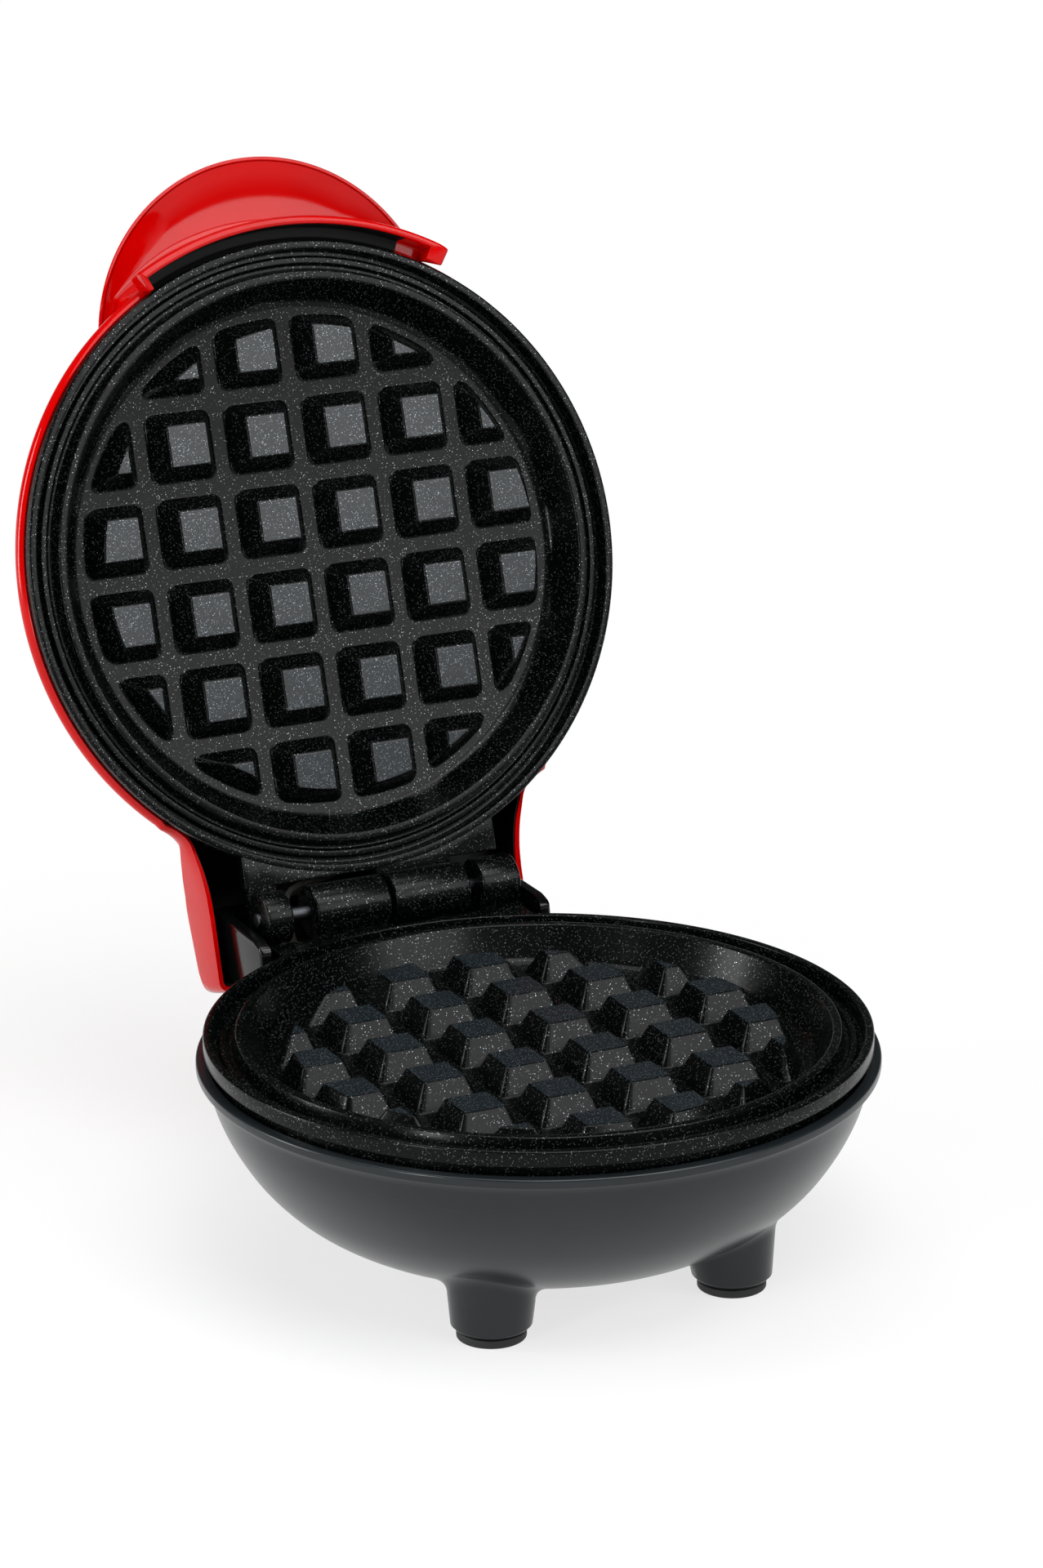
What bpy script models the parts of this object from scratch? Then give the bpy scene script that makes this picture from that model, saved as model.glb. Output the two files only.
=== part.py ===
"""Mini waffle maker: a round hinged cooker, modelled open on its stop.

Units are metres, +Z is up and the front faces -Y.  The base and the lid are
each modelled about the centre of their cooking plate, with zero height at the
lower cooking floor and the lid parallel to the base.  Empties then place them:
the lid hangs under an empty on the hinge axis, turned to its open stop.
Run with: blender --background --python part.py
"""
import math

import bmesh
import bpy
from mathutils import Matrix, Vector

MM = 0.001

# Clearances and mesh density
GAP = 0.3 * MM                 # between touching pieces
RUNNING_GAP = 0.15 * MM        # round the hinge pin
OVERRUN = 5.0 * MM             # how far a cutter passes through a face
ROOT = 0.8 * MM                # how far a joined form sinks into its neighbour
WELD = 0.002 * MM              # points closer than this are one
TURN_STEPS = 40
SMALL_STEPS = 16
TINY_STEPS = 10
PATH_STEPS = 3                 # points between two route points of a lead

# The outside of the cooking plates, which most other radii follow
RIM_R = 61.4 * MM

# Placing
FLOOR_HEIGHT = 38.06 * MM      # lower cooking floor above the table
CENTRE_Y = -33.3 * MM          # plate centre from the middle of the open footprint
HINGE_OFFSET = 6.1 * MM        # hinge axis behind the rim
HINGE_BACK = RIM_R + HINGE_OFFSET
HINGE_UP = 9.95 * MM           # hinge axis above the lower cooking floor
OPEN_ANGLE = 107.47            # lid turned from parallel to its open stop, degrees

# Cooking plate, from the rim inwards, heights from its cooking floor
RIM_WALL = 1.6 * MM
RIM_SLOPE = 0.2 * MM
RIM_TOP = 6.9 * MM
GROOVE_WIDTH = 1.0 * MM
GROOVE_SLOPE = 0.3 * MM
GROOVE_FLOOR = 3.7 * MM
BEAD_WIDTH = 1.1 * MM
BEAD_SLOPE = 0.4 * MM
BEAD_TOP = 4.9 * MM
VALLEY_WIDTH = 0.7 * MM
VALLEY_SLOPE = 0.6 * MM
VALLEY_FLOOR = 4.2 * MM
RIDGE_WIDTH = 1.6 * MM
RIDGE_TOP = 7.2 * MM
DISH_SLOPE = 3.2 * MM
RIM_IN_R = RIM_R - RIM_WALL
GROOVE_OUT_R = RIM_IN_R - RIM_SLOPE
GROOVE_IN_R = GROOVE_OUT_R - GROOVE_WIDTH
BEAD_OUT_R = GROOVE_IN_R - GROOVE_SLOPE
BEAD_IN_R = BEAD_OUT_R - BEAD_WIDTH
VALLEY_OUT_R = BEAD_IN_R - BEAD_SLOPE
VALLEY_IN_R = VALLEY_OUT_R - VALLEY_WIDTH
RIDGE_OUT_R = VALLEY_IN_R - VALLEY_SLOPE
RIDGE_IN_R = RIDGE_OUT_R - RIDGE_WIDTH
FLOOR_R = RIDGE_IN_R - DISH_SLOPE
SKIRT_FOOT = 3.9 * MM
NECK_INSET = 1.2 * MM
NECK_FOOT = 1.8 * MM
SHOULDER_WIDTH = 3.2 * MM
SHOULDER_Z = 0.4 * MM
BACK_SLOPE = 2.5 * MM
PLATE_BACK = -3.0 * MM
NECK_R = RIM_R - NECK_INSET
SHOULDER_R = NECK_R - SHOULDER_WIDTH
BACK_R = SHOULDER_R - BACK_SLOPE

# Waffle pegs
PITCH = 16.5 * MM
PEG_ROWS = 6
PEG_BASE = 12.5 * MM
PEG_TOP = 8.2 * MM
PEG_HEIGHT = 4.96 * MM
PEG_FIELD_INSET = 3.3 * MM     # from the floor's edge to the ring that clips the outer pegs
PEG_FIELD_R = FLOOR_R - PEG_FIELD_INSET

# Hinge knuckles, cast on the plates
TAB_HALF = 26.8 * MM
TAB_REACH = 0.1 * MM           # how far the tab runs behind the rim
TAB_END = RIM_R + TAB_REACH
TAB_ARC_R = RIM_R - ROOT
TAB_TOP = 6.8 * MM
TAB_FOOT = 4.0 * MM
KNUCKLE_R = 5.2 * MM
WEB_SHORT = 2.3 * MM           # from the webs' ends to the hinge axis
WEB_END = HINGE_BACK - WEB_SHORT
LOWER_KNUCKLES = ((-16.0 * MM, -0.4 * MM), (19.2 * MM, 27.4 * MM))
UPPER_KNUCKLES = ((-16.6 * MM, -0.6 * MM), (21.0 * MM, 26.3 * MM))
PIN_R = 1.5 * MM
PIN_LEFT = -26.9 * MM
PIN_RIGHT = 27.9 * MM

# Posts and bosses cast on the back of the plates
POST_X_SHARE = 0.48126
POST_Y_SHARE = 0.58777
POST_X = FLOOR_R * POST_X_SHARE
POST_Y = FLOOR_R * POST_Y_SHARE
POST_R = 4.0 * MM
POST_TIP_R = 2.8 * MM
POST_SHOULDER = -9.8 * MM
LOWER_POST_TIP = -17.5 * MM
UPPER_POST_TIP = -13.0 * MM
POST_BORE_R = 1.7 * MM
POST_BORE_TOP = -7.5 * MM
BOSS_R = 4.0 * MM
BOSS_BORE_R = 1.6 * MM
BOSS_BORE_TOP = -4.5 * MM
STUD_X = 12.0 * MM             # stud that the thermostat's ear is screwed to
STUD_R = 2.2 * MM
STUD_BORE_R = 1.1 * MM
STUD_BORE_TOP = -3.6 * MM
STUD_FOOT = -5.6 * MM

# Heater: a tube bent to a loop under the floor, with its ends to the rear
HEATER_R = 3.25 * MM
HEATER_CLEAR = 1.265 * MM      # between the loop and the posts outside it
HEATER_LOOP_R = math.hypot(POST_X, POST_Y) - POST_R - HEATER_R - HEATER_CLEAR
HEATER_GAP_ANGLE = 33.0        # half of the angle left open in the loop, degrees
HEATER_POINTS = 26
HEATER_END_X = 9.3 * MM
HEATER_TURN_X = 10.4 * MM
HEATER_END_REACH = 13.2 * MM   # how far the tube's ends run out of the loop
HEATER_BEND_REACH = 8.4 * MM
HEATER_TURN_REACH = 3.2 * MM
HEATER_END_Y = HEATER_LOOP_R + HEATER_END_REACH
HEATER_BEND_Y = HEATER_LOOP_R + HEATER_BEND_REACH
HEATER_TURN_Y = HEATER_LOOP_R + HEATER_TURN_REACH
TERMINAL_R = 1.1 * MM
TERMINAL_LENGTH = 6.0 * MM

# Reflector: a round sheet that holds the heater up
REFLECTOR_MARGIN = 4.885 * MM  # of sheet past the posts' centres
REFLECTOR_R = math.hypot(POST_X, POST_Y) + REFLECTOR_MARGIN
REFLECTOR_SHEET = 0.8 * MM
WINDOW_R = 8.6 * MM
REFLECTOR_SCREW_R = 1.3 * MM
REFLECTOR_SCREW_LENGTH = 5.4 * MM
REFLECTOR_HEAD_R = 2.8 * MM
REFLECTOR_HEAD = 1.5 * MM

# Thermostat and fuse
THERMOSTAT_Y = -14.0 * MM
THERMOSTAT_R = 7.5 * MM
THERMOSTAT_HEIGHT = 5.6 * MM
CAP_R = 5.6 * MM
CAP_HEIGHT = 2.6 * MM
EAR_REACH = 14.6 * MM
EAR_HALF = 2.6 * MM
EAR_SHEET = 0.8 * MM
BLADE_X = 3.6 * MM
BLADE_HALF = 1.4 * MM
BLADE_SHEET = 0.8 * MM
BLADE_LENGTH = 2.4 * MM
EAR_SCREW_R = 0.8 * MM
EAR_SCREW_LENGTH = 2.6 * MM
EAR_HEAD_R = 1.9 * MM
EAR_HEAD = 1.0 * MM
FUSE_R = 2.0 * MM
FUSE_X = 12.0 * MM
FUSE_Z = -13.2 * MM
FUSE_FRONT = 8.0 * MM
FUSE_BACK = 21.0 * MM

# Base shell: lip and bowl
LIP_REACH = 1.4 * MM           # past the plate's rim
LIP_R = RIM_R + LIP_REACH
LIP_TOP = 2.2 * MM
LIP_FOOT = 0.5 * MM
LIP_ROUND = 0.4 * MM
LIP_OVERHANG = 1.9 * MM
BOWL_R = LIP_R - LIP_OVERHANG
BOWL_TOP = -0.4 * MM
BOWL_DEPTH = 32.15 * MM
BASE_WALL = 2.2 * MM
LEDGE_GAP = 0.4 * MM
BOWL_SHARES = ((1.0, 0.0), (0.976, 0.18), (0.93, 0.37), (0.858, 0.57), (0.76, 0.745),
               (0.64, 0.874), (0.5, 0.95), (0.34, 0.987))

# Legs, pads and the screws that hold the lower plate
LEG_R = 7.9 * MM
LEG_FOOT_R = 7.4 * MM
LEG_EDGE = 0.8 * MM
LEG_FOOT = -36.1 * MM
LEG_TOP = -20.0 * MM
BACK_LEG_X = 20.0 * MM
BACK_LEG_INSET = 13.5 * MM     # in front of the hinge axis
BACK_LEG_Y = HINGE_BACK - BACK_LEG_INSET
BACK_LEG_TOP = -9.0 * MM
PAD_R = 6.35 * MM
PAD_EDGE = 0.3 * MM
PAD_STEM_R = 5.1 * MM
PAD_RECESS = 2.5 * MM
BASE_BOSS_R = 4.7 * MM
SCREW_SEAT = -22.5 * MM
SCREW_POCKET_R = 3.2 * MM
SCREW_HOLE_R = 1.9 * MM
SCREW_R = 1.3 * MM
SCREW_TIP = -9.5 * MM
SCREW_HEAD_R = 2.6 * MM
SCREW_HEAD = 1.5 * MM

# Housing round the hinge, open at the top, and the block that holds the gland
HOUSING_HALF = 30.8 * MM
HOUSING_R = 13.3 * MM          # about the hinge axis
HOUSING_LENGTH = 27.5 * MM     # in front of the hinge axis, into the bowl
HOUSING_FRONT_Y = HINGE_BACK - HOUSING_LENGTH
HOUSING_FRONT_Z = -19.5 * MM
CHEEK_TOP = 9.0 * MM
CHEEK_LENGTH = 11.2 * MM       # in front of the hinge axis
CHEEK_ROOT_LENGTH = 13.3 * MM
CHEEK_FRONT = HINGE_BACK - CHEEK_LENGTH
CHEEK_ROOT_Y = HINGE_BACK - CHEEK_ROOT_LENGTH
CHEEK_SHELF = 1.5 * MM
CHEEK_NOSE = 3.6 * MM
NOSE_SHARES = ((1.0, 0.0), (0.19, 0.25), (0.0, 0.8))
STOP_OVERHANG = 1.9 * MM       # how far the stop face runs past the lid's edge
LEAD_WINDOW_HALF = 21.0 * MM
LEAD_WINDOW_TOP = -3.0 * MM
LEAD_WINDOW_FOOT = -6.9 * MM
LEAD_WINDOW_INSET = 4.6 * MM
LEAD_WINDOW_BACK = HINGE_BACK - LEAD_WINDOW_INSET
CORD_BLOCK_HALF = 9.5 * MM
CORD_BLOCK_INSET = 1.5 * MM    # its face in front of the hinge axis
CORD_BLOCK_LENGTH = 22.0 * MM
CORD_BLOCK_BACK = HINGE_BACK - CORD_BLOCK_INSET
CORD_BLOCK_FRONT = CORD_BLOCK_BACK - CORD_BLOCK_LENGTH
CORD_BLOCK_TOP = -7.5 * MM
CORD_BLOCK_FOOT = -23.5 * MM
GLAND_Z = -15.6 * MM
GLAND_R = 4.9 * MM
GLAND_BORE_R = 3.4 * MM
GLAND_LENGTH = 15.0 * MM
GLAND_FRONT = CORD_BLOCK_BACK - GLAND_LENGTH
GLAND_FLANGE_R = 6.4 * MM
GLAND_FLANGE = 1.5 * MM

# Lid shell
LID_REACH = 1.7 * MM           # past the plate's rim
LID_R = RIM_R + LID_REACH
LID_EDGE = 15.5 * MM
LID_EDGE_IN = 0.5 * MM
LID_MOUTH_WALL = 1.35 * MM
LID_MOUTH_R = LID_R - LID_MOUTH_WALL
DOME_FOOT = 16.4 * MM
DOME_HEIGHT = 22.6 * MM
LID_WALL = 1.8 * MM
DOME_SHARES = ((1.0, 0.0), (0.972, 0.155), (0.928, 0.34), (0.865, 0.52), (0.78, 0.68),
               (0.67, 0.81), (0.52, 0.91), (0.34, 0.97), (0.15, 0.997))
LID_BOSS_R = 4.7 * MM
SOCKET_ROOF = 0.3 * MM

# Tail: the box at the back of the lid that hides the hinge
TAIL_HALF = 33.8 * MM
TAIL_BEHIND = 13.5 * MM        # behind the hinge axis
TAIL_END = HINGE_BACK + TAIL_BEHIND
TAIL_EDGE = 17.0 * MM
TAIL_TOP_FRONT = 31.0 * MM
TAIL_TOP_BACK = 28.4 * MM
TAIL_LENGTH = 29.5 * MM        # in front of the hinge axis
TAIL_SLOPE_START = 9.5 * MM
TAIL_FRONT_Y = HINGE_BACK - TAIL_LENGTH
TAIL_KINK_Y = HINGE_BACK - TAIL_SLOPE_START
TAIL_CORNER_R = 5.0 * MM
TAIL_SIDE_ROUND = 2.4 * MM
CORNER_STEPS = 4
FLARE_START = 1.5 * MM         # in front of the hinge axis
FLARE_START_Y = HINGE_BACK - FLARE_START
FLARE_OUT = 7.4 * MM
FLARE_RUN = 18.4 * MM
FLARE_SHRINK_SHARE = 0.1
FLARE_SHARES = ((0.0, 0.0), (0.03, 0.22), (0.12, 0.446), (0.25, 0.636), (0.39, 0.8), (0.65, 0.91),
                (1.0, 1.0))

# Handle: a hood over a finger scoop, and the band below it
VISOR_INSET = 19.7 * MM        # its centre inside the lid's edge
VISOR_Y = VISOR_INSET - LID_R
VISOR_R = 36.2 * MM
VISOR_LIP = 26.1 * MM
VISOR_RISE = 7.6 * MM
VISOR_TOP_SHARES = ((1.0, 0.06), (0.975, 0.2), (0.88, 0.5), (0.72, 0.76), (0.5, 0.93))
VISOR_UNDER_SHARES = ((0.99, 0.0), (0.94, 0.04), (0.84, 0.14), (0.72, 0.2), (0.5, 0.24))
VISOR_HOLLOW_SHARE = 0.73      # the part of the hood's radius that is hollow
BAND_STAND = 3.1 * MM          # past the lid's edge
BAND_R = LID_R + BAND_STAND
BAND_WALL = 1.8 * MM
BAND_EDGE = 11.0 * MM
BAND_RIDGE = 12.6 * MM
BAND_TOP = 17.6 * MM
BAND_LEAN = 0.8 * MM
BAND_ROOT = 1.2 * MM           # how far it sinks into the lid's edge
BAND_TOP_R = BAND_R - BAND_LEAN
BAND_ROOT_R = LID_R - BAND_ROOT
BAND_ANGLE = 28.3              # half of the angle that the band covers, degrees
BAND_STEPS = 14

# Indicator light in the lid
LENS_Y = -16.0 * MM
LENS_R = 3.5 * MM
LENS_TOP = 38.9 * MM
LENS_CROWN = 0.4 * MM
LENS_FLANGE_R = 4.8 * MM
LENS_FLANGE = 1.1 * MM
LENS_SEAT = 36.2 * MM
LAMP_HALF_X = 4.6 * MM
LAMP_HALF_Y = 3.0 * MM
LAMP_HEIGHT = 2.8 * MM

# Insulated leads, each with its route through points in millimetres, drawn for one heater and hinge
ROUTE_START_Y = 22.0 * MM
ROUTE_HEATER_Y = 43.2 * MM
ROUTE_HINGE_Y = 67.5 * MM
ROUTE_STRETCHES = ((ROUTE_START_Y, ROUTE_START_Y), (ROUTE_HEATER_Y, HEATER_END_Y),
                   (ROUTE_HINGE_Y, HINGE_BACK))
LEAD_R = 1.1 * MM
LINK_R = 1.0 * MM
LIVE_ROUTE = ((1.6, 58.0, -15.6), (1.6, 50.0, -15.6), (1.4, 42.0, -18.5), (0.0, 25.0, -21.0),
              (-3.2, -4.0, -20.0), (-3.6, -12.8, -17.6), (-3.6, -14.0, -14.2))
FUSE_LEAD_ROUTE = ((3.6, -14.0, -14.2), (3.7, -13.0, -17.2), (6.0, -7.0, -18.4), (10.6, 0.5, -15.6),
                   (12.0, 4.5, -13.4), (12.0, 7.7, -13.2))
HEATER_LEAD_ROUTE = ((12.0, 21.3, -13.2), (12.0, 25.0, -13.3), (12.2, 35.0, -14.0), (11.8, 44.5, -13.4),
                     (10.6, 50.4, -10.8), (9.5, 52.6, -7.4), (9.3, 50.1, -6.55))
NEUTRAL_ROUTE = ((-1.6, 58.0, -15.6), (-1.6, 50.2, -15.6), (-5.5, 49.4, -13.6), (-8.8, 51.6, -10.4),
                 (-9.4, 52.6, -7.4), (-9.3, 50.1, -6.55))
LINK_NEUTRAL_ROUTE = ((-9.3, 47.9, -7.95), (-9.5, 48.2, -9.8), (-12.6, 51.4, -7.6), (-15.4, 55.8, -5.0),
                      (-18.4, 61.6, -4.5), (-19.7, 66.0, -1.6), (-19.7, 69.6, 1.2), (-19.7, 73.4, 4.4),
                      (-19.7, 74.7, 8.25))
LINK_LIVE_ROUTE = ((9.3, 47.9, -7.95), (9.2, 48.2, -9.8), (5.4, 52.0, -7.8), (3.0, 57.0, -5.0),
                   (1.0, 61.4, -4.4), (-8.0, 65.4, -2.2), (-15.6, 67.8, 0.2), (-17.4, 70.4, 1.8),
                   (-17.4, 73.5, 4.7), (-17.4, 74.7, 8.25))
LID_NEUTRAL_ROUTE = ((-19.7, 66.65, 17.35), (-19.7, 64.5, 17.6), (-19.0, 61.0, 18.6), (-14.0, 57.0, 22.4),
                     (-9.8, 53.6, 25.8), (-9.3, 49.8, 26.45))
LID_LIVE_ROUTE = ((-17.4, 66.65, 17.35), (-17.2, 64.5, 17.6), (-14.0, 62.6, 18.6), (0.0, 60.0, 22.0),
                  (8.6, 55.0, 25.6), (9.3, 49.8, 26.45))
LAMP_LIVE_ROUTE = ((5.0, -16.0, 33.4), (7.0, -14.5, 33.3), (11.0, -2.0, 33.0), (12.2, 25.0, 32.3),
                   (11.8, 37.5, 32.0), (11.2, 43.4, 30.9), (9.9, 46.6, 29.0), (9.3, 47.2, 27.85))
LAMP_NEUTRAL_ROUTE = tuple((-x, y, z) for x, y, z in LAMP_LIVE_ROUTE)
LAMP_LEAD_R = 0.7 * MM

# Colours
RED = (0.62, 0.004, 0.004)
CHARCOAL = (0.045, 0.047, 0.05)
COATING = (0.022, 0.024, 0.026)
RUBBER = (0.012, 0.012, 0.012)
STEEL = (0.55, 0.55, 0.56)
ALUMINIUM = (0.7, 0.7, 0.71)
CERAMIC = (0.75, 0.7, 0.6)
AMBER = (0.8, 0.25, 0.05)
BROWN = (0.25, 0.08, 0.04)
BLUE = (0.05, 0.12, 0.4)
WHITE = (0.7, 0.68, 0.62)


def clear_scene():
    """Remove every object, so that the script can run again."""
    for old in list(bpy.data.objects):
        bpy.data.objects.remove(old, do_unlink=True)


def material(name, colour, roughness, metallic=0.0):
    """A Principled material, shared by every piece that names it."""
    made = bpy.data.materials.get(name)
    if made is None:
        made = bpy.data.materials.new(name)
        made.use_nodes = True
        shader = made.node_tree.nodes["Principled BSDF"]
        shader.inputs["Base Color"].default_value = (*colour, 1.0)
        shader.inputs["Roughness"].default_value = roughness
        shader.inputs["Metallic"].default_value = metallic
    return made


def frame(name, location, parent=None, turn=(0.0, 0.0, 0.0)):
    """An empty that carries pieces."""
    empty = bpy.data.objects.new(name, None)
    bpy.context.collection.objects.link(empty)
    empty.location = location
    empty.rotation_euler = turn
    empty.parent = parent
    return empty


def object_from(mesh_builder, name):
    """Put a bmesh into a new object with outward faces."""
    bmesh.ops.remove_doubles(mesh_builder, verts=mesh_builder.verts, dist=WELD)
    bmesh.ops.recalc_face_normals(mesh_builder, faces=mesh_builder.faces)
    mesh = bpy.data.meshes.new(name)
    mesh_builder.to_mesh(mesh)
    mesh_builder.free()
    made = bpy.data.objects.new(name, mesh)
    bpy.context.collection.objects.link(made)
    return made


def turned(name, outline, steps, centre=(0.0, 0.0)):
    """Turn an outline of (radius, height) points, axis to axis, about a vertical axis."""
    shape = bmesh.new()
    first = 0.0 if centre == (0.0, 0.0) else 0.5
    rings = []
    for radius, height in outline:
        count = steps if radius > 0 else 1
        ring = []
        for step in range(count):
            angle = 2 * math.pi * (step + first) / steps
            ring.append(shape.verts.new((centre[0] + radius * math.cos(angle),
                                         centre[1] + radius * math.sin(angle), height)))
        rings.append(ring)
    for low, high in zip(rings, rings[1:]):
        for step in range(steps):
            after = (step + 1) % steps
            corners = [low[step % len(low)], low[after % len(low)],
                       high[after % len(high)], high[step % len(high)]]
            face = list(dict.fromkeys(corners))
            if len(face) > 2:
                shape.faces.new(face)
    return object_from(shape, name)


def prism(name, outline, low, high, across):
    """Extrude an outline: of (y, z) points along X, or of (x, y) points along Z."""
    shape = bmesh.new()
    if across == "X":
        corners = [(low, first, second) for first, second in outline]
        travel = (high - low, 0.0, 0.0)
    else:
        corners = [(first, second, low) for first, second in outline]
        travel = (0.0, 0.0, high - low)
    face = shape.faces.new([shape.verts.new(corner) for corner in corners])
    grown = bmesh.ops.extrude_face_region(shape, geom=[face])
    moved = [item for item in grown["geom"] if isinstance(item, bmesh.types.BMVert)]
    bmesh.ops.translate(shape, verts=moved, vec=travel)
    return object_from(shape, name)


def block(name, low, high):
    """A box between two corners."""
    outline = [(low[0], low[1]), (high[0], low[1]), (high[0], high[1]), (low[0], high[1])]
    return prism(name, outline, low[2], high[2], "Z")


def rod(name, radius, low, high, centre=(0.0, 0.0), steps=SMALL_STEPS):
    """An upright cylinder between two heights."""
    return turned(name, [(0.0, low), (radius, low), (radius, high), (0.0, high)], steps, centre)


def rod_along_x(name, radius, left, right, centre, steps=SMALL_STEPS):
    """A cylinder along X, about a (y, z) centre."""
    outline = [(centre[0] + radius * math.cos(2 * math.pi * step / steps),
                centre[1] + radius * math.sin(2 * math.pi * step / steps))
               for step in range(steps)]
    return prism(name, outline, left, right, "X")


def combine(target, tool, operation):
    """Join a tool to a target, or cut or keep by it, and use the tool up.

    The meshes are in millimetres meanwhile, a size that suits the solver's tolerances.
    """
    for piece in (target, tool):
        piece.data.transform(Matrix.Scale(1 / MM, 4))
    change = target.modifiers.new(operation, "BOOLEAN")
    change.operation = operation
    change.solver = "EXACT"
    change.object = tool
    bpy.context.view_layer.update()
    view = bpy.context.evaluated_depsgraph_get()
    mesh = bpy.data.meshes.new_from_object(target.evaluated_get(view))
    target.modifiers.remove(change)
    mesh.transform(Matrix.Scale(MM, 4))
    shape = bmesh.new()
    shape.from_mesh(mesh)
    bmesh.ops.remove_doubles(shape, verts=shape.verts, dist=WELD)
    bmesh.ops.dissolve_degenerate(shape, edges=shape.edges, dist=WELD)
    shape.to_mesh(mesh)
    shape.free()
    target.data = mesh
    bpy.data.objects.remove(tool, do_unlink=True)
    return target


def together(*pieces):
    """One mesh from pieces that stand apart, to serve as a single tool."""
    shape = bmesh.new()
    for piece in pieces:
        shape.from_mesh(piece.data)
        bpy.data.objects.remove(piece, do_unlink=True)
    return object_from(shape, "tools")


def join(target, *tools):
    """Join tools that stand apart from each other to a target."""
    return combine(target, together(*tools), "UNION")


def cut(target, *tools):
    """Cut a target by tools that stand apart from each other."""
    return combine(target, together(*tools), "DIFFERENCE")


def finish(piece, name, finish_material, parent, sharp=35.0):
    """Name a piece, give it its material and hang it on its frame."""
    piece.name = name
    piece.data.name = name
    piece.data.materials.clear()
    piece.data.materials.append(finish_material)
    piece.data.shade_smooth()
    piece.data.set_sharp_from_angle(angle=math.radians(sharp))
    piece.parent = parent
    return piece


def smooth_route(points):
    """Points along a smooth curve through the route's own points."""
    ends = [2 * Vector(points[0]) - Vector(points[1])]
    ends += [Vector(point) for point in points]
    ends.append(2 * Vector(points[-1]) - Vector(points[-2]))
    route = []
    for first, start, stop, last in zip(ends, ends[1:], ends[2:], ends[3:]):
        for step in range(PATH_STEPS):
            t = step / PATH_STEPS
            route.append(0.5 * (2 * start + (stop - first) * t
                                + (2 * first - 5 * start + 4 * stop - last) * t * t
                                + (3 * start - first - 3 * stop + last) * t ** 3))
    route.append(Vector(points[-1]))
    return route


def tube(name, route, radius, sides_resolution=1):
    """A round tube along a route, with filled ends."""
    curve = bpy.data.curves.new(name, "CURVE")
    curve.dimensions = "3D"
    curve.bevel_depth = radius
    curve.bevel_resolution = sides_resolution
    curve.use_fill_caps = True
    spline = curve.splines.new("POLY")
    spline.points.add(len(route) - 1)
    for point, place in zip(spline.points, route):
        point.co = (*place, 1.0)
    holder = bpy.data.objects.new(name, curve)
    bpy.context.collection.objects.link(holder)
    view = bpy.context.evaluated_depsgraph_get()
    mesh = bpy.data.meshes.new_from_object(holder.evaluated_get(view))
    bpy.data.objects.remove(holder, do_unlink=True)
    shape = bmesh.new()
    shape.from_mesh(mesh)
    return object_from(shape, name)


def ring(name, outline, steps, centre=(0.0, 0.0)):
    """Turn a closed outline that stands off the axis."""
    return turned(name, list(outline) + [outline[0]], steps, centre)


def arc_band(name, section, half_angle, steps):
    """Sweep a closed (radius, height) section about the centre, to both sides of the front."""
    shape = bmesh.new()
    slices = []
    for step in range(steps + 1):
        angle = math.radians(half_angle) * (2 * step / steps - 1)
        slices.append([shape.verts.new((radius * math.sin(angle), -radius * math.cos(angle), height))
                       for radius, height in section])
    for left, right in zip(slices, slices[1:]):
        for corner in range(len(section)):
            after = (corner + 1) % len(section)
            shape.faces.new((left[corner], left[after], right[after], right[corner]))
    shape.faces.new(slices[0])
    shape.faces.new(slices[-1])
    return object_from(shape, name)


def loft(name, low_ring, high_ring):
    """A solid between two rings of (x, y, z) points."""
    shape = bmesh.new()
    low = [shape.verts.new(point) for point in low_ring]
    high = [shape.verts.new(point) for point in high_ring]
    shape.faces.new(low)
    shape.faces.new(high)
    for corner in range(len(low)):
        after = (corner + 1) % len(low)
        shape.faces.new((low[corner], low[after], high[after], high[corner]))
    return object_from(shape, name)


def move_points(piece, rule):
    """Move every point of a piece's mesh by a rule."""
    for point in piece.data.vertices:
        point.co = rule(*point.co)
    piece.data.update()
    return piece


def laid_back(piece, height):
    """Lay an upright piece on its back, its axis along Y at a height."""
    return move_points(piece, lambda x, y, z: (x, z, height - y))


def turned_over(piece):
    """Turn a piece of the base over to its place in the lid, half a turn about Y."""
    return move_points(piece, lambda x, y, z: (-x, y, 2 * HINGE_UP - z))


def four_posts():
    """The (x, y) places of the four posts and of the bosses that meet them."""
    return [(side * POST_X, end * POST_Y) for end in (-1, 1) for side in (-1, 1)]


def four_legs():
    """The (x, y) places of the legs: the front pair under the posts, the rear under the housing."""
    front = [(side * POST_X, -POST_Y) for side in (-1, 1)]
    return front + [(side * BACK_LEG_X, BACK_LEG_Y) for side in (-1, 1)]


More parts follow.
